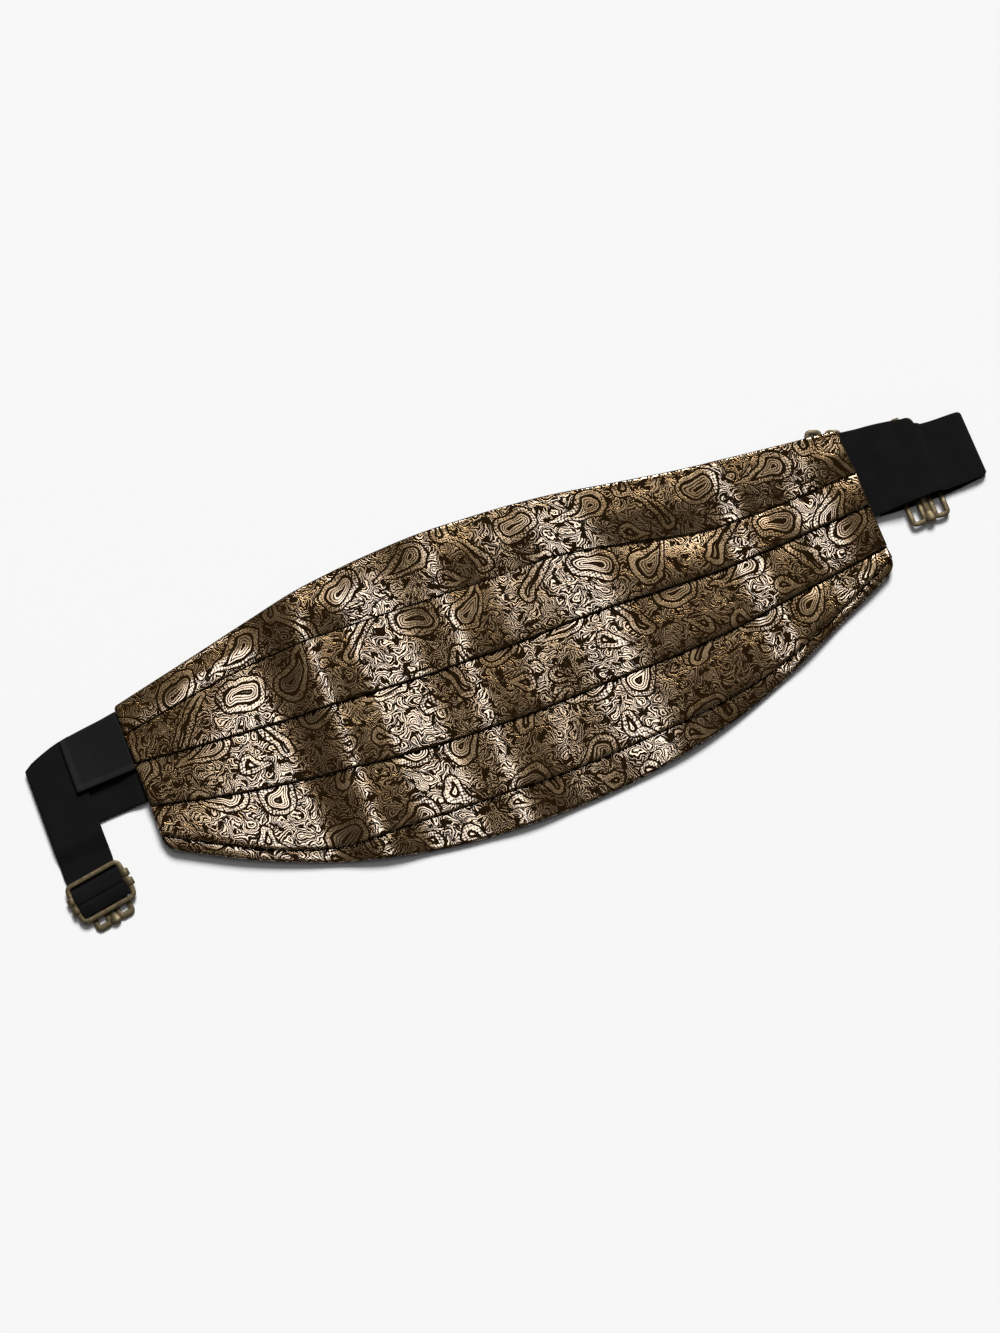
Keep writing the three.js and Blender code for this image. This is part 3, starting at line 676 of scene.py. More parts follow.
def left_strap(panel, material):
    """Narrow strap that lies across the wide band and runs down through the left slide."""
    straps, wires = panel.straps, bpy.context.scene.wire_sizes
    gap, elastic, half = panel.sizes.gap, straps.elastic, straps.elastic / 2
    edges = band_edges(panel)
    low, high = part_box("left_slide")
    slide = (low + high) / 2
    slide_y = slide.y - panel.middle
    slide_out = panel.left - slide.x
    side_line = straps.left_reach - straps.strap_width / 2
    foot = edges["left_lower"] * column(LEFT_BAND_EDGES, "lower", 1.0)
    bar = -slide_y - wires.slide_depth / 2
    plate = -slide_y
    over_wire = elastic + gap + wires.wire / 2
    over_band = elastic + gap + half
    over_plate = over_wire + wires.plate_wall / 2 + gap + half
    claw = claw_radius(wires, gap)
    threaded = straps.strap_width + 4 * gap + wires.wire - 2 * claw
    crease = 0.0012
    fold_rise = 0.0004
    groove_size = 0.00045
    bend = elastic
    run = Route(
        [
            (-edges["left_upper"], over_band),
            (0, over_band),
            (foot - 2 * bend, over_band),
            (foot + bend, over_band),
            (foot + 6 * bend, half),
            (bar - 3 * bend, half),
            (bar + wires.wire / 2, half),
            (bar + wires.wire + gap + half, half + gap),
            (plate - wires.plate_width / 2 - 0.8 * bend, over_plate - gap),
            (plate - wires.plate_width / 2 + 0.7 * bend, over_plate),
            (plate + wires.plate_width / 2 - 0.7 * bend, over_plate),
            (plate + wires.plate_width / 2 + 1.3 * bend, over_plate - 2 * gap),
            (plate + wires.slide_depth / 2 - wires.wire - 2 * gap, over_wire + gap),
        ]
    )
    columns, rows = 12, 150
    steps = [run.at(i / rows) for i in range(rows + 1)]

    def place(u, v):
        along, z = steps[rows - v]
        turning = smooth(bar - 3 * bend, bar + bend, along)
        aside = (u / columns - 0.5) * mix(straps.strap_width, threaded, turning)
        upper = edges["left_upper"] * column(
            LEFT_BAND_EDGES, "upper", (side_line - aside) / straps.left_reach
        )
        down = along * (upper - gap) / edges["left_upper"] if along < 0 else along
        past = down - plate - crease
        fold = fold_rise * (1 - smooth(-gap, gap, past)) * smooth(bar, plate - 2 * MM, down)
        groove = groove_size * math.exp(-((past / groove_size) ** 2)) * (turning > 0.5)
        up = -slide_y - down
        angle = wires.left_turn * turning
        x = -mix(side_line, slide_out, turning) + aside * math.cos(angle) - up * math.sin(angle)
        y = slide_y + aside * math.sin(angle) + up * math.cos(angle)
        return panel.place(x, y, max(z, half) + half + fold - groove), (along, aside)

    bm = cloth_grid(columns, rows, place)
    modifiers = [solid_cloth(elastic), soft_edge(0.0004)]
    piece = add_piece("left_strap_elastic", bm, material, ["left_strap"], modifiers)
    return piece


def right_band(panel, material):
    """Folded wide band: out over the slide and the hook, round the fold and back below them."""
    straps, wires = panel.straps, bpy.context.scene.wire_sizes
    gap, elastic, half = panel.sizes.gap, straps.elastic, straps.elastic / 2
    edges = band_edges(panel)
    low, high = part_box("right_slide")
    out = (low.x + high.x) / 2 - panel.left - panel.length
    near_bar, far_bar = out - wires.slide_depth / 2, out + wires.slide_depth / 2
    claw = claw_radius(wires, gap)
    over_slide = elastic + 2 * gap + 2 * claw + half
    near_fold = half + elastic + straps.fold_open
    bend = 4 * elastic
    reach = straps.right_reach
    fold_corner = 0.0022
    layers = Route(
        [
            (-straps.band_tuck, panel.on_lining + half),
            (0, panel.on_lining + half),
            (near_bar - elastic, over_slide - gap),
            (out, over_slide),
            (far_bar - gap, over_slide + gap),
            (far_bar + elastic, near_fold + elastic),
            (far_bar + 1.6 * elastic, near_fold),
            (reach - bend, near_fold),
            (reach - half, (near_fold + half) / 2),
            (reach - bend, half),
            (reach / 2, half),
            (straps.band_drop / 3, half),
        ]
    )
    columns, rows = 150, 18
    steps = [layers.at(i / columns) for i in range(columns + 1)]
    turn = max(range(columns + 1), key=lambda i: steps[i].x)

    def place(u, v):
        along, z = steps[u]
        before, after = steps[max(u - 1, 0)], steps[min(u + 1, columns)]
        way = (after - before).normalized()
        at = min(1.0, max(0.0, along / reach))
        below = u > turn
        spread = straps.fold_spread * math.sin(math.pi * at) if below else 0.0
        to_corner = min(fold_corner, max(0.0, along + half - reach + fold_corner))
        rounded = fold_corner - math.sqrt(fold_corner**2 - to_corner**2)
        upper = edges["right_upper"] * column(RIGHT_BAND_EDGES, "upper", at)
        upper -= rounded + (straps.fold_spread if below else 0.0)
        lower = -edges["right_lower"] * column(RIGHT_BAND_EDGES, "lower", at) - spread + rounded
        y = mix(lower, upper, v / rows)
        x = panel.length + along
        lifted = 0.0 if below else 1 - smooth(0, straps.band_drop, along)
        lift = lifted * panel.base(min(x, panel.length), y)
        outer = Vector((-way.y, way.x)) * half
        return panel.place(x + outer.x, y, max(0.0, z + outer.y + lift)), (layers.length * u / columns, y)

    bm = cloth_grid(columns, rows, place)
    modifiers = [solid_cloth(elastic), soft_edge(0.0004)]
    piece = add_piece("right_band_elastic", bm, material, ["right_band"], modifiers)
    return piece


def label(panel, material):
    """Blank folded label of satin, sewn on the band beside the panel."""
    straps = panel.straps
    edges = band_edges(panel)
    columns, rows = 30, 30
    under = max(panel.on_lining, straps.elastic + panel.sizes.gap) + straps.elastic + panel.sizes.gap
    fold = 0.0026
    fold_rise = 0.0004
    curl_rise = 0.0009
    sag_depth = 0.00025

    def place(u, v):
        free = 1 - u / columns
        height = straps.label_width - straps.label_taper * free
        top = edges["left_upper"] - straps.label_below - straps.label_fall * free
        up = v / rows
        y = top - height * (1 - up)
        x = -panel.sizes.gap - straps.label_length * free
        from_free = (1 - free) * straps.label_length
        turned = max(1 - smooth(0.6 * fold, fold, from_free), 1 - smooth(0.6 * fold, fold, up * height))
        curl = curl_rise * max(0.0, free - 0.55) * (1 - up)
        sag = sag_depth * math.sin(math.pi * free) * math.sin(math.pi * up)
        z = under + straps.label_wall + fold_rise * turned + curl - sag
        return panel.place(x, y, z), (x, y)

    bm = cloth_grid(columns, rows, place)
    modifiers = [solid_cloth(straps.label_wall), soft_edge(0.0003)]
    piece = add_piece("label_satin", bm, material, ["label"], modifiers)
    return piece


# Wire slides and hooks


def rounded_run(points, corner, steps=6, closed=False):
    """Straight runs with rounded corners, as points."""
    path = []
    count = len(points)
    for i, point in enumerate(points):
        if not closed and i in (0, count - 1):
            path.append(point)
            continue
        before, after = points[i - 1], points[(i + 1) % count]
        a = point.lerp(before, corner / (point - before).length)
        b = point.lerp(after, corner / (point - after).length)
        for j in range(steps + 1):
            t = j / steps
            path.append((1 - t) ** 2 * a + 2 * t * (1 - t) * point + t * t * b)
    return path


def flat_round(value):
    """Squares a circle's ordinate a little, for a wire with flat faces."""
    return math.copysign(abs(value) ** WIRE_SQUARE, value)


def sweep_wire(bm, path, wide, thick, placed, closed=False):
    """A flattened wire along a path. Its width may be a function of the point."""
    sides = 16
    count = len(path)
    rings = []
    for i, point in enumerate(path):
        before = path[i - 1] if closed or i > 0 else point
        after = path[(i + 1) % count] if closed or i < count - 1 else point
        way = (after - before).normalized()
        side = way.cross(Vector((0, 0, 1))).normalized()
        up = side.cross(way)
        width = wide(point) if callable(wide) else wide
        turn = Matrix((side * width / 2, up * thick / 2, way)).transposed().to_4x4()
        ring = bmesh.ops.create_circle(bm, segments=sides, radius=1)
        for vert in ring["verts"]:
            flat = Vector((flat_round(vert.co.x), flat_round(vert.co.y), 0))
            vert.co = placed @ Matrix.Translation(point) @ turn @ flat
        rings.append([e for v in ring["verts"] for e in v.link_edges])
    pairs = list(zip(rings, rings[1:]))
    if closed:
        pairs.append((rings[-1], rings[0]))
    for a, b in pairs:
        bmesh.ops.bridge_loops(bm, edges=list(set(a) | set(b)))
    if not closed:
        for ring in (rings[0], rings[-1]):
            bmesh.ops.holes_fill(bm, edges=list(set(ring)), sides=0)


def slide_path(wires, straps, gap):
    """Middle line of a slide's bent wire."""
    half_length = (straps.strap_width + 2 * gap + wires.wire) / 2
    half_depth = (wires.slide_depth - wires.wire) / 2
    corners = [(1, 1), (-1, 1), (-1, -1), (1, -1)]
    points = [Vector((a * half_length, b * half_depth, 0)) for a, b in corners]
    return rounded_run(points, 1.25 * wires.slide_corner, 8, closed=True)


def claw_radius(wires, gap):
    """Outer radius of a claw round a slide's wire."""
    return wires.wire / 2 + gap + wires.claw_wall


def add_metal(name, bm, material, node):
    """A metal piece that stands for a CAD node."""
    bmesh.ops.recalc_face_normals(bm, faces=bm.faces)
    return add_piece(name, bm, material, [node])


def add_slide(name, placed, material):
    """A slide of flattened wire."""
    scene = bpy.context.scene
    wires = scene.wire_sizes
    bm = bmesh.new()
    path = slide_path(wires, scene.strap_sizes, scene.panel_sizes.gap)
    sweep_wire(bm, path, wires.wire_width, SLIDE_FLAT * wires.wire, placed, closed=True)
    return add_metal(f"{name}_wire", bm, material, name)


def add_loops(bm, reach, spacing, drop, placed, toe=0.0):
    """Two wire loops that reach out along -Y, may drop to a lower level and may widen at their toes."""
    wires = bpy.context.scene.wire_sizes
    half = (wires.loop_width - wires.wire) / 2
    toe = toe or wires.wire_width
    bottom = -reach + toe / 2 - (wires.wire_width - wires.wire) / 2
    foot = -wires.plate_width / 2 - wires.wire

    def wide(point):
        return mix(wires.wire_width, toe, smooth(bottom + wires.loop_corner, bottom, point.y))

    for middle in (-spacing / 2, spacing / 2):
        levels = [(0, 0), (foot, -drop)] if drop else [(0, 0)]
        down = [Vector((middle - half, y, z)) for y, z in levels]
        up = [Vector((middle + half, y, z)) for y, z in reversed(levels)]
        turn = [Vector((middle - half, bottom, -drop)), Vector((middle + half, bottom, -drop))]
        path = rounded_run(down + turn + up, 0.8 * wires.loop_corner, 8)
        sweep_wire(bm, path, wide, HOOK_FLAT * wires.wire, placed)


def add_tongue(bm, reach, drop, placed):
    """Flat tongue between the loops, with a domed tip."""
    wires = bpy.context.scene.wire_sizes
    full = reach + wires.tongue_tip
    columns, rows = 10, 30
    dome_rise = 0.0007
    ridge_rise = 0.0003
    made = bmesh.ops.create_grid(bm, x_segments=columns, y_segments=rows, size=1)
    faces = list({f for v in made["verts"] for f in v.link_faces})
    for vert in made["verts"]:
        across, along = vert.co.x, (vert.co.y + 1) / 2
        y = full * (along - 1)
        tip = smooth(0.7 * full, 0.85 * full, -y)
        rounded = math.sqrt(max(0.0, 1 - max(0.0, (-y / full - 0.9) / 0.1) ** 2 * 0.75))
        width = mix(wires.tongue_stem, wires.tongue_width, tip) * rounded
        sunk = drop * smooth(0, wires.plate_width / 2 + wires.wire, -y)
        raised = wires.tongue_rise * smooth(wires.slide_depth / 2 + wires.wire, reach, -y)
        dome = dome_rise * tip * (1 - across**2) * rounded
        ridge = ridge_rise * (1 - tip) * (1 - across**2)
        z = raised - sunk + wires.tongue_wall / 2 + dome + ridge
        vert.co = placed @ Vector((across * width / 2, y, z))
    bmesh.ops.solidify(bm, geom=faces, thickness=wires.tongue_wall)


def add_bar(bm, spacing, placed):
    """Bar that carries a plain hook."""
    wires = bpy.context.scene.wire_sizes
    half = (spacing + wires.loop_width) / 2
    ends = [Vector((-half, 0, 0)), Vector((half, 0, 0))]
    sweep_wire(bm, ends, wires.wire_width, HOOK_FLAT * wires.wire, placed)


def add_plate(bm, placed):
    """Plate across a slide, whose claws close round its short sides."""
    scene = bpy.context.scene
    wires, gap = scene.wire_sizes, scene.panel_sizes.gap
    bar = (scene.strap_sizes.strap_width + 2 * gap + wires.wire) / 2
    inner = 2 * (bar - wires.wire / 2 - gap)
    size = Matrix.Diagonal((inner, wires.plate_width, wires.plate_wall, 1))
    made = bmesh.ops.create_cube(bm, size=1, matrix=placed @ size)
    edges = list({e for v in made["verts"] for e in v.link_edges})
    bmesh.ops.bevel(
        bm, geom=edges, offset=0.3 * wires.plate_wall, segments=2, affect="EDGES", profile=0.5, material=-1
    )
    claw = claw_radius(wires, gap)
    along_y = Matrix.Rotation(math.pi / 2, 4, "X")
    for side in (-1, 1):
        for end in (-1, 1):
            out = side * (wires.claw_reach - claw) / 2
            at = Vector((side * bar + out, end * (wires.plate_width - wires.claw_length) / 2, 0))
            shape = Matrix.Diagonal(((wires.claw_reach + claw) / (2 * claw), 1, 0.8, 1))
            made = bmesh.ops.create_cone(
                bm,
                cap_ends=True,
                segments=24,
                radius1=claw,
                radius2=claw,
                depth=0.94 * wires.claw_length,
                matrix=placed @ Matrix.Translation(at) @ shape @ along_y,
            )
            caps = [f for v in made["verts"] for f in v.link_faces if len(f.verts) > 4]
            rims = list({e for f in caps for e in f.edges})
            bmesh.ops.bevel(
                bm, geom=rims, offset=0.0005, segments=3, affect="EDGES", profile=0.5, material=-1
            )


def place_of(node, turn):
    """The middle of a CAD node, with a turn."""
    low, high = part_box(node)
    return Matrix.Translation((low + high) / 2) @ Matrix.Rotation(turn, 4, "Z")


def add_hardware(panel, material):
    """Slides, plates and hooks."""
    wires = bpy.context.scene.wire_sizes
    gap, elastic = panel.sizes.gap, panel.straps.elastic
    level = elastic + gap + wires.wire / 2
    left = place_of("left_slide", wires.left_turn)
    right = place_of("right_slide", math.pi / 2)
    add_slide("left_slide", left, material)
    add_slide("right_slide", right, material)

    bm = bmesh.new()
    add_plate(bm, left)
    drop = level - wires.wire / 2
    add_loops(bm, wires.reach, wires.spacing, drop, left, wires.toe_width)
    add_tongue(bm, wires.reach, drop, left)
    add_metal("left_hook_wire", bm, material, "left_hook")

    bm = bmesh.new()
    add_plate(bm, right)
    add_metal("right_plate_metal", bm, material, "right_plate")

    low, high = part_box("side_hook")
    side = Matrix.Translation(((low.x + high.x) / 2, low.y + wires.side_reach + wires.tongue_lead, level))
    bm = bmesh.new()
    add_bar(bm, wires.spacing, side)
    add_loops(bm, wires.side_reach, wires.spacing, 0, side)
    add_tongue(bm, wires.side_reach, 0, side)
    add_metal("side_hook_wire", bm, material, "side_hook")

    at = panel.place(panel.length - wires.back_inside, panel.corner - wires.back_below, wires.wire / 2)
    back = Matrix.Translation(at) @ Matrix.Rotation(wires.back_turn, 4, "Z")
    bm = bmesh.new()
    add_bar(bm, wires.back_spacing, back)
    add_loops(bm, wires.back_reach, wires.back_spacing, 0, back)
    add_metal("back_hook_wire", bm, material, "back_hook")


# Finishes


class Value:
    """A socket that takes part in sums."""

    def __init__(self, recipe, socket):
        """Holds the socket and the recipe that it belongs to."""
        self.recipe = recipe
        self.socket = socket

    def math(self, operation, *others):
        """A Math node on this value and others."""
        return self.recipe.node("ShaderNodeMath", {"operation": operation}, [self, *others])

    def __add__(self, other):
        return self.math("ADD", other)

    def __sub__(self, other):
        return self.math("SUBTRACT", other)

    def __mul__(self, other):
        return self.math("MULTIPLY", other)

    def __truediv__(self, other):
        return self.math("DIVIDE", other)

    def __rsub__(self, other):
        return self.recipe.node("ShaderNodeMath", {"operation": "SUBTRACT"}, [other, self])

    def min(self, other):
        """The smaller of two."""
        return self.math("MINIMUM", other)

    def between(self, low, high):
        """Eases from 0 at low to 1 at high."""
        settings = {"interpolation_type": "SMOOTHSTEP", "clamp": True}
        inputs = {"Value": self, "From Min": low, "From Max": high}
        return self.recipe.node("ShaderNodeMapRange", settings, inputs)


class Recipe:
    """The nodes of one finish."""

    def __init__(self, name):
        """Starts an empty finish with a Principled shader."""
        self.material = bpy.data.materials.new(name)
        self.material.use_nodes = True
        self.tree = self.material.node_tree
        self.tree.nodes.clear()
        self.shader = self.tree.nodes.new("ShaderNodeBsdfPrincipled")
        output = self.tree.nodes.new("ShaderNodeOutputMaterial")
        self.tree.links.new(self.shader.outputs[0], output.inputs[0])

    def node(self, kind, settings=None, inputs=(), output=0):
        """A node of a type, with its settings and then the values or links of its sockets."""
        made = self.tree.nodes.new(kind)
        settings = dict(settings or {})
        stops = settings.pop("stops", None)
        for key, value in settings.items():
            setattr(made, key, value)
        if stops:
            ramp = made.color_ramp
            ramp.interpolation = "CONSTANT"
            while len(ramp.elements) > 1:
                ramp.elements.remove(ramp.elements[-1])
            for i, (at, grey) in enumerate(stops):
                element = ramp.elements[0] if i == 0 else ramp.elements.new(at)
                element.position = at
                element.color = (grey, grey, grey, 1)
        pairs = inputs.items() if isinstance(inputs, dict) else enumerate(inputs)
        for key, value in pairs:
            self.feed(made.inputs[key], value)
        return Value(self, made.outputs[output])

    def feed(self, socket, value):
        """Sets a socket or links it."""
        if isinstance(value, Value):
            self.tree.links.new(value.socket, socket)
        else:
            socket.default_value = value

    def set(self, **values):
        """Feeds the shader's sockets, whose names have underscores for spaces here."""
        for key, value in values.items():
            self.feed(self.shader.inputs[key.replace("_", " ")], value)

    def vector(self, operation, *values, output=0, **named):
        """A Vector Math node."""
        inputs = {**dict(enumerate(values)), **named}
        return self.node("ShaderNodeVectorMath", {"operation": operation}, inputs, output)

    def cloth(self):
        """The piece's own map of its cloth, in millimetres, as (x, y, both)."""
        uv = self.node("ShaderNodeUVMap", {"uv_map": "cloth"})
        both = self.vector("SCALE", uv, Scale=1 / MM)
        return self.parts(both) + (both,)

    def parts(self, vector):
        """The x and y of a vector."""
        split = self.node("ShaderNodeSeparateXYZ", None, [vector])
        return split, Value(self, split.socket.node.outputs[1])

    def join(self, x, y):
        """A vector of x and y."""
        return self.node("ShaderNodeCombineXYZ", None, [x, y])

    def noise(self, vector, size, detail=2.0, output=0):
        """Noise whose features are about the size given, in the vector's unit."""
        inputs = {"Vector": vector, "Scale": 1 / size, "Detail": detail}
        return self.node("ShaderNodeTexNoise", None, inputs, output)

    def blend(self, factor, a, b):
        """A colour between two."""
        return self.node("ShaderNodeMix", {"data_type": "RGBA"}, {0: factor, 6: a, 7: b}, 2)

    def tones(self, factor, tint, dark, light):
        """A colour between a darker and a lighter tone of a tint."""
        return self.blend(factor, rgba(tint, dark), rgba(tint, light))

    def ribs(self, value, pitch):
        """Ribs from 0 to 1 at a pitch."""
        return (value * (2 * math.pi / pitch)).math("SINE") * 0.5 + 0.5

    def between(self, factor, a, b):
        """A number between two."""
        return self.node("ShaderNodeMix", {"data_type": "FLOAT"}, {0: factor, 2: a, 3: b})

    def bump(self, height, distance, strength=1.0):
        """A normal from a height that goes from 0 to 1."""
        inputs = {"Height": height, "Distance": distance, "Strength": strength}
        return self.node("ShaderNodeBump", None, inputs)


def rgba(values, factor=1.0):
    """A colour for a socket."""
    return (*(factor * v for v in values), 1.0)


def ink_ramp(recipe, value, table, high=8.0):
    """Reads a table of ink by a value, from the table's first row to high."""
    low = table[0]["from"]
    stops = [((row["from"] - low) / (high - low), (row["ink"] + 2) / 4) for row in table]
    ramp = recipe.node("ShaderNodeValToRGB", {"stops": stops}, [(value - low) / (high - low)])
    return ramp * 4.0 - 2.0


def drop_distance(recipe, cloth, motif, repeat):
    """Distance in millimetres from the outline of the nearest copy of a curved drop, negative inside it."""
    away = recipe.vector("SUBTRACT", cloth, (motif["x"], motif["y"], 0))
    half = (repeat[0] / 2, repeat[1] / 2, 1)
    away = recipe.vector("WRAP", away, half, tuple(-h for h in half))
    turn = {"Vector": away, "Angle": -math.radians(motif["way"])}
    turned = recipe.node("ShaderNodeVectorRotate", {"rotation_type": "Z_AXIS"}, turn)
    along, across = recipe.parts(turned)
    spine = motif["spine"]
    clamped = {"operation": "MULTIPLY_ADD", "use_clamp": True}
    part = recipe.node("ShaderNodeMath", clamped, [along, 1 / spine, 0.5])
    beyond = along - (part - 0.5) * spine
    aside = across - part * part * motif["bend"]
    far = recipe.vector("LENGTH", recipe.join(beyond, aside), output=1)
    return far - (part * -motif["taper"] + 1.0) * motif["radius"]


def nearest(recipe, cloth, chart, repeat):
    """Distance from the nearest outline of a chart's drops."""
    near = None
    for motif in chart:
        d = drop_distance(recipe, cloth, motif, repeat)
        near = d if near is None else near.min(d)
    return near


def moved_cloth(recipe, plain, start, by):
    """A map of the cloth, moved about by noise."""
    way = recipe.vector("SUBTRACT", recipe.noise(plain, by["size"], 1.0, output=1), (0.5, 0.5, 0.5))
    return recipe.vector("MULTIPLY_ADD", way, (by["move"], by["move"], 0), start)


def brocade(colours):
    """Jacquard with paisley drawn in fine metallic lines on a dark ground."""
    recipe = Recipe("brocade_finish")
    plain = recipe.cloth()[-1]
    calm = moved_cloth(recipe, plain, plain, DRIFT)
    bent = moved_cloth(recipe, plain, calm, JITTER)

    near = nearest(recipe, calm, MOTIFS, REPEAT)
    curl = nearest(recipe, bent, CURLS, CURL_REPEAT)
    patches = recipe.noise(bent, 4.2, 2.0).between(0.54, 0.64) * 1.6
    beads = recipe.node(
        "ShaderNodeTexVoronoi",
        {"voronoi_dimensions": "2D"},
        {"Vector": calm, "Scale": 1 / BEADS["pitch"], "Randomness": 0.25},
    )
    beaded = near.math("GREATER_THAN", BEADS["from"]) * near.math("LESS_THAN", BEADS["to"])
    outside = near.math("GREATER_THAN", MOTIF_INK[-1]["from"])
    turns = recipe.between(outside, near / MOTIF_PITCH, curl / CURL_PITCH)
    lines = (turns * (2 * math.pi)).math("SINE")
    lines = recipe.between(beaded, lines, 1.2 - beads * 3.0)
    filling = ink_ramp(recipe, curl, CURL_INK) - patches
    ink = recipe.between(outside, ink_ramp(recipe, near, MOTIF_INK), filling)
    richness = (recipe.noise(plain, 14.0, 2.0) - 0.5) * 1.7
    gold = (lines + ink + richness).between(-0.1, 0.7)

    # Random weave cells vary the ground's tone, the roughness and the bump; they also light up dots of the
    # gold thread's colour as painted glints
    snapped = recipe.vector("SNAP", plain, (0.42, 0.3, 1.0))
    weft_and_glints = recipe.node("ShaderNodeTexWhiteNoise", {"noise_dimensions": "2D"}, [snapped])
    tone = recipe.noise(plain, 7.0, 2.0).between(0.35, 0.65)
    thread = recipe.blend(tone, rgba(colours.bronze), rgba(colours.champagne))
    # Painted glints: the weave cells lift the thread's colour towards a brighter champagne, standing in for
    # sparkle of light on the metal threads
    thread = recipe.blend(weft_and_glints * weft_and_glints * 0.5, thread, rgba(colours.champagne, 1.3))
    shade = recipe.tones(weft_and_glints * 0.5, colours.ground, 0.6, 1.6)
    recipe.set(
        Base_Color=recipe.blend(gold, shade, thread),
        Metallic=gold,
        Roughness=recipe.between(gold, 0.8, 0.16) + weft_and_glints * 0.06,
        Coat_Weight=gold,
        Normal=recipe.bump(gold * 0.75 + weft_and_glints * 0.25, 0.00001, 1.0),
    )
    recipe.set(Specular_IOR_Level=0.02, Coat_IOR=2.2, Coat_Roughness=0.15)
    return recipe.material


def elastic_finish(colours):
    """Matte woven elastic with fine ribs along its length."""
    recipe = Recipe("elastic_finish")
    x, y, plain = recipe.cloth()
    ribs = recipe.ribs(y, 0.9)
    picks = recipe.ribs(x, 0.55)
    fuzz = recipe.noise(plain, 0.6, 3.0)
    wear = recipe.noise(plain, 14.0, 2.0).between(0.4, 0.7)
    tone = (ribs * 0.35 + picks * 0.2 + fuzz * 0.9) * 0.8
    recipe.set(
        Base_Color=recipe.tones(tone * 0.6 + wear * 0.25, colours.elastic, 0.55, 2.0),
        Roughness=0.86,
        Normal=recipe.bump(ribs * 0.5 + picks * 0.25 + fuzz * 0.5, 0.00012, 0.7),
    )
    recipe.set(Specular_IOR_Level=0.12)
    return recipe.material


def lining_finish(colours):
    """Plain twill lining."""
    recipe = Recipe("lining_finish")
    x, y, plain = recipe.cloth()
    twill = recipe.ribs(x + y, 0.8)
    fuzz = recipe.noise(plain, 1.2, 3.0)
    recipe.set(
        Base_Color=recipe.tones(twill * 0.5 + fuzz * 0.4, colours.lining, 0.7, 2.0),
        Roughness=0.7,
        Normal=recipe.bump(twill * 0.6 + fuzz * 0.4, 0.0001, 0.6),
    )
    recipe.set(Specular_IOR_Level=0.2)
    return recipe.material


def satin_finish(colours):
    """Soft black satin of the label."""
    recipe = Recipe("satin_finish")
    x, y = recipe.cloth()[:2]
    threads = recipe.ribs(y, 0.35)
    slubs = recipe.noise(recipe.join(x * 0.12, y), 0.5, 3.0)
    recipe.set(
        Base_Color=recipe.tones(threads * 0.3 + slubs * 0.7, colours.satin, 0.8, 1.7),
        Roughness=slubs * 0.2 + 0.42,
        Normal=recipe.bump(threads * 0.4 + slubs * 0.6, 0.00006, 0.6),
    )
    recipe.set(Specular_IOR_Level=0.1)
    return recipe.material


def brass_finish(colours):
    """Worn antique brass with patina and fine scratches."""
    recipe = Recipe("brass_finish")
    place = Value(recipe, recipe.tree.nodes.new("ShaderNodeTexCoord").outputs["Object"])
    cloudy = recipe.noise(place, 0.0035, 4.0).between(0.38, 0.66)
    specks = recipe.noise(place, 0.0006, 3.0)
    worn = recipe.noise(place, 0.0017, 3.0).between(0.55, 0.72)
    base = recipe.blend(cloudy, rgba(colours.brass), rgba(colours.patina))
    base = recipe.blend(worn * 0.6, base, rgba(colours.brass, 1.7))
    recipe.set(
        Base_Color=base,
        Metallic=0.7,
        Roughness=cloudy * 0.14 + specks * 0.1 + 0.42,
        Normal=recipe.bump(specks * 0.6 + cloudy * 0.4, 0.00008, 0.6),
    )
    return recipe.material


def floor_finish(colours):
    """Plain pale floor."""
    recipe = Recipe("floor_finish")
    recipe.set(Base_Color=rgba(colours.floor), Roughness=0.8)
    recipe.set(Specular_IOR_Level=0.2)
    return recipe.material


def finish_named(name, make):
    """A finish, made once."""
    return bpy.data.materials.get(name) or make(bpy.context.scene.finish_colours)


# Operators


class AddPleats(bpy.types.Operator):
    """Add the five pleats of brocade"""

    bl_idname = "cummerbund.add_pleats"
    bl_label = "Pleats"

    def execute(self, context):
        panel = Panel(context.scene)
        material = finish_named("brocade_finish", brocade)
        for k in range(1, panel.sizes.pleats + 1):
            pleat(panel, k, material)
        return {"FINISHED"}


class AddLining(bpy.types.Operator):
    """Add the plain lining"""

    bl_idname = "cummerbund.add_lining"
    bl_label = "Lining"

    def execute(self, context):
        lining(Panel(context.scene), finish_named("lining_finish", lining_finish))
        return {"FINISHED"}


class AddBands(bpy.types.Operator):
    """Add the elastic bands and the narrow strap"""

    bl_idname = "cummerbund.add_bands"
    bl_label = "Elastic bands"

    def execute(self, context):
        panel = Panel(context.scene)
        material = finish_named("elastic_finish", elastic_finish)
        left_band(panel, material)
        left_strap(panel, material)
        right_band(panel, material)
        return {"FINISHED"}


class AddLabel(bpy.types.Operator):
    """Add the blank satin label"""

    bl_idname = "cummerbund.add_label"
    bl_label = "Label"

    def execute(self, context):
        label(Panel(context.scene), finish_named("satin_finish", satin_finish))
        return {"FINISHED"}


class AddHardware(bpy.types.Operator):
    """Add the wire slides, plates and hooks"""

    bl_idname = "cummerbund.add_hardware"
    bl_label = "Slides and hooks"

    def execute(self, context):
        add_hardware(Panel(context.scene), finish_named("brass_finish", brass_finish))
        return {"FINISHED"}


def add_light(name, kind, at, look, settings):
    """A light that looks at a point."""
    light = bpy.data.lights.new(name, kind)
    for key, value in settings.items():
        setattr(light, key, value)
    lamp = bpy.data.objects.new(name, light)
    bpy.context.scene.collection.objects.link(lamp)
    lamp.location = at
    lamp.rotation_euler = (look - at).to_track_quat("-Z", "Y").to_euler()


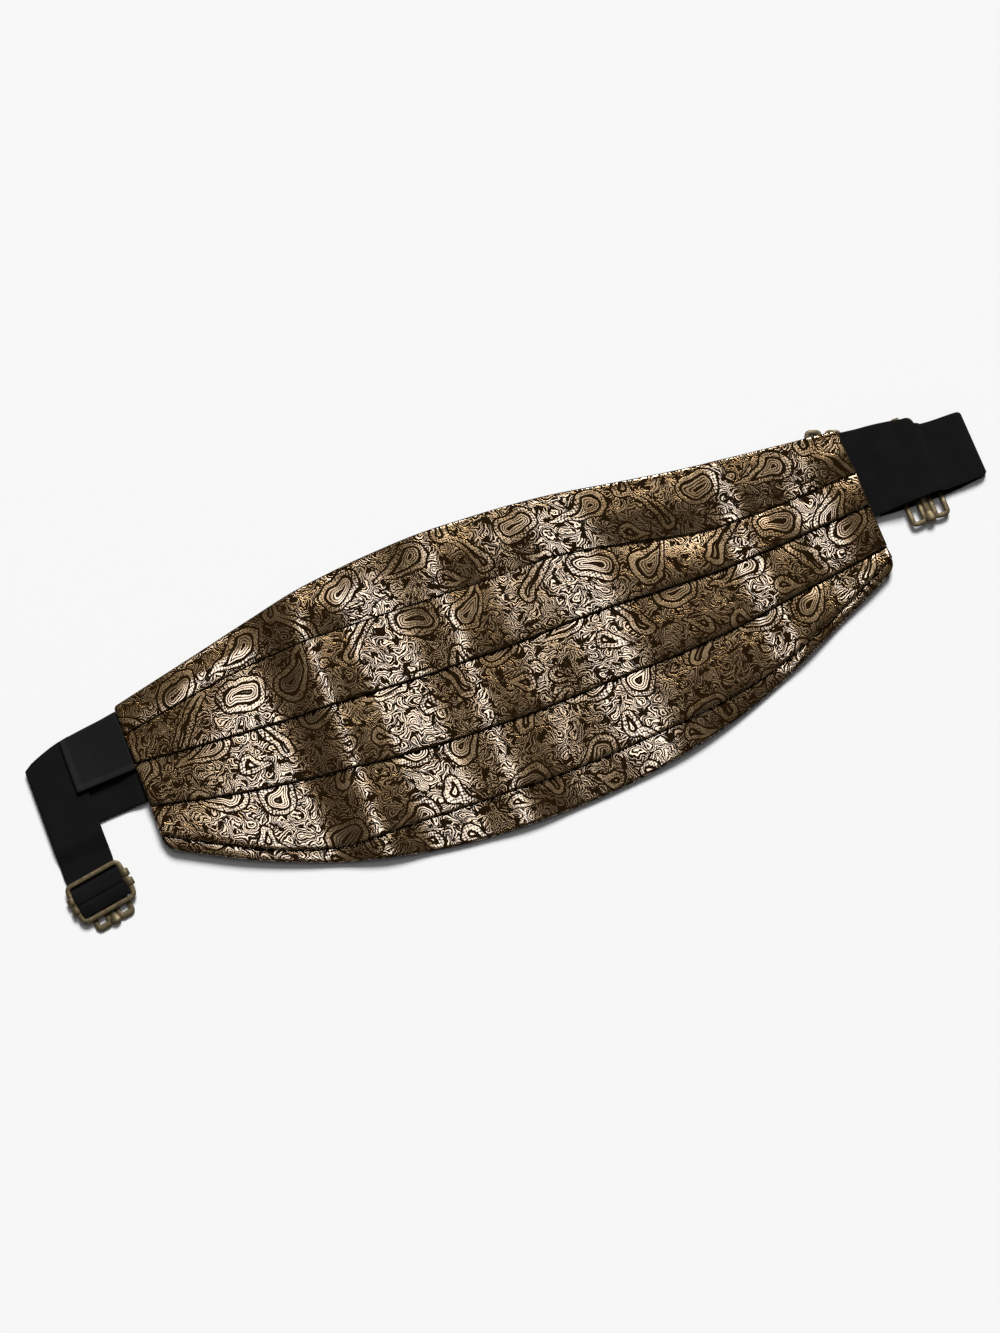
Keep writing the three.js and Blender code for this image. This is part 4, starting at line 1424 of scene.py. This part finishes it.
class SetStage(bpy.types.Operator):
    """Set the pale floor, the soft light and the camera"""

    bl_idname = "cummerbund.set_stage"
    bl_label = "Stage"

    def execute(self, context):
        scene = context.scene
        stage = scene.stage_settings
        bm = bmesh.new()
        bmesh.ops.create_grid(bm, x_segments=1, y_segments=1, size=4)
        mesh = bpy.data.meshes.new("floor")
        bm.to_mesh(mesh)
        bm.free()
        floor = bpy.data.objects.new("floor", mesh)
        scene.collection.objects.link(floor)
        mesh.materials.append(finish_named("floor_finish", floor_finish))

        up = Vector((math.sin(stage.heading), math.cos(stage.heading), 0))
        right = Vector((math.cos(stage.heading), -math.sin(stage.heading), 0))
        above = Vector((0, 0, 1))
        target = Vector((stage.target_x, stage.target_y, 0))
        back = above * math.sin(stage.elevation) - up * math.cos(stage.elevation)
        camera = bpy.data.cameras.new("camera")
        camera.sensor_fit = "VERTICAL"
        camera.sensor_height = 36
        camera.lens = camera.sensor_height * stage.distance / stage.view_height
        eye = bpy.data.objects.new("camera", camera)
        scene.collection.objects.link(eye)
        eye.location = target + back * stage.distance
        eye.rotation_euler = (target - eye.location).to_track_quat("-Z", "Y").to_euler()
        scene.camera = eye

        slant = above * math.sin(stage.key_elevation) + up * math.cos(stage.key_elevation)
        slant += right * stage.key_aside
        key = {"energy": stage.key_strength, "angle": stage.key_softness}
        add_light("key", "SUN", target + slant * stage.light_height, target, key)
        glow = {"shape": "RECTANGLE", "size": stage.glow_width, "size_y": stage.glow_length}
        glow["energy"] = stage.glow_power
        place = target + above * stage.light_height + up * stage.glow_up - right * stage.glow_left
        add_light("glow", "AREA", place, target, glow)
        world = bpy.data.worlds.new("sky")
        world.use_nodes = True
        world.node_tree.nodes["Background"].inputs["Color"].default_value = (1, 1, 1, 1)
        world.node_tree.nodes["Background"].inputs["Strength"].default_value = stage.sky
        scene.world = world
        scene.view_settings.view_transform = "Standard"
        return {"FINISHED"}


class CummerbundPanel(bpy.types.Panel):
    """Lists the steps that build the cummerbund"""

    bl_idname = "VIEW3D_PT_cummerbund"
    bl_label = "Cummerbund"
    bl_space_type = "VIEW_3D"
    bl_region_type = "UI"
    bl_category = "Cummerbund"

    def draw(self, context):
        """Draws a button for each step."""
        for step in STEPS:
            self.layout.operator(step.bl_idname)


STEPS = (AddPleats, AddLining, AddBands, AddLabel, AddHardware, SetStage)
SETTINGS = {
    "panel_sizes": PanelSizes,
    "strap_sizes": StrapSizes,
    "wire_sizes": WireSizes,
    "finish_colours": Finishes,
    "stage_settings": StageSettings,
}


def register():
    """Registers the settings, the steps and the panel."""
    for name, group in SETTINGS.items():
        bpy.utils.register_class(group)
        setattr(bpy.types.Scene, name, PointerProperty(type=group))
    for step in STEPS:
        bpy.utils.register_class(step)
    bpy.utils.register_class(CummerbundPanel)


def unregister():
    """Takes them away again."""
    bpy.utils.unregister_class(CummerbundPanel)
    for step in reversed(STEPS):
        bpy.utils.unregister_class(step)
    for name, group in reversed(SETTINGS.items()):
        delattr(bpy.types.Scene, name)
        bpy.utils.unregister_class(group)


def corners(bounds):
    """A box as plain lists."""
    return [list(corner) for corner in bounds]


def main():
    """Builds the cummerbund and its stage."""
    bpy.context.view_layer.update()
    register()
    bpy.ops.cummerbund.set_stage()
    bpy.ops.cummerbund.add_pleats()
    bpy.ops.cummerbund.add_lining()
    bpy.ops.cummerbund.add_bands()
    bpy.ops.cummerbund.add_label()
    bpy.ops.cummerbund.add_hardware()


if __name__ == "__main__":
    main()
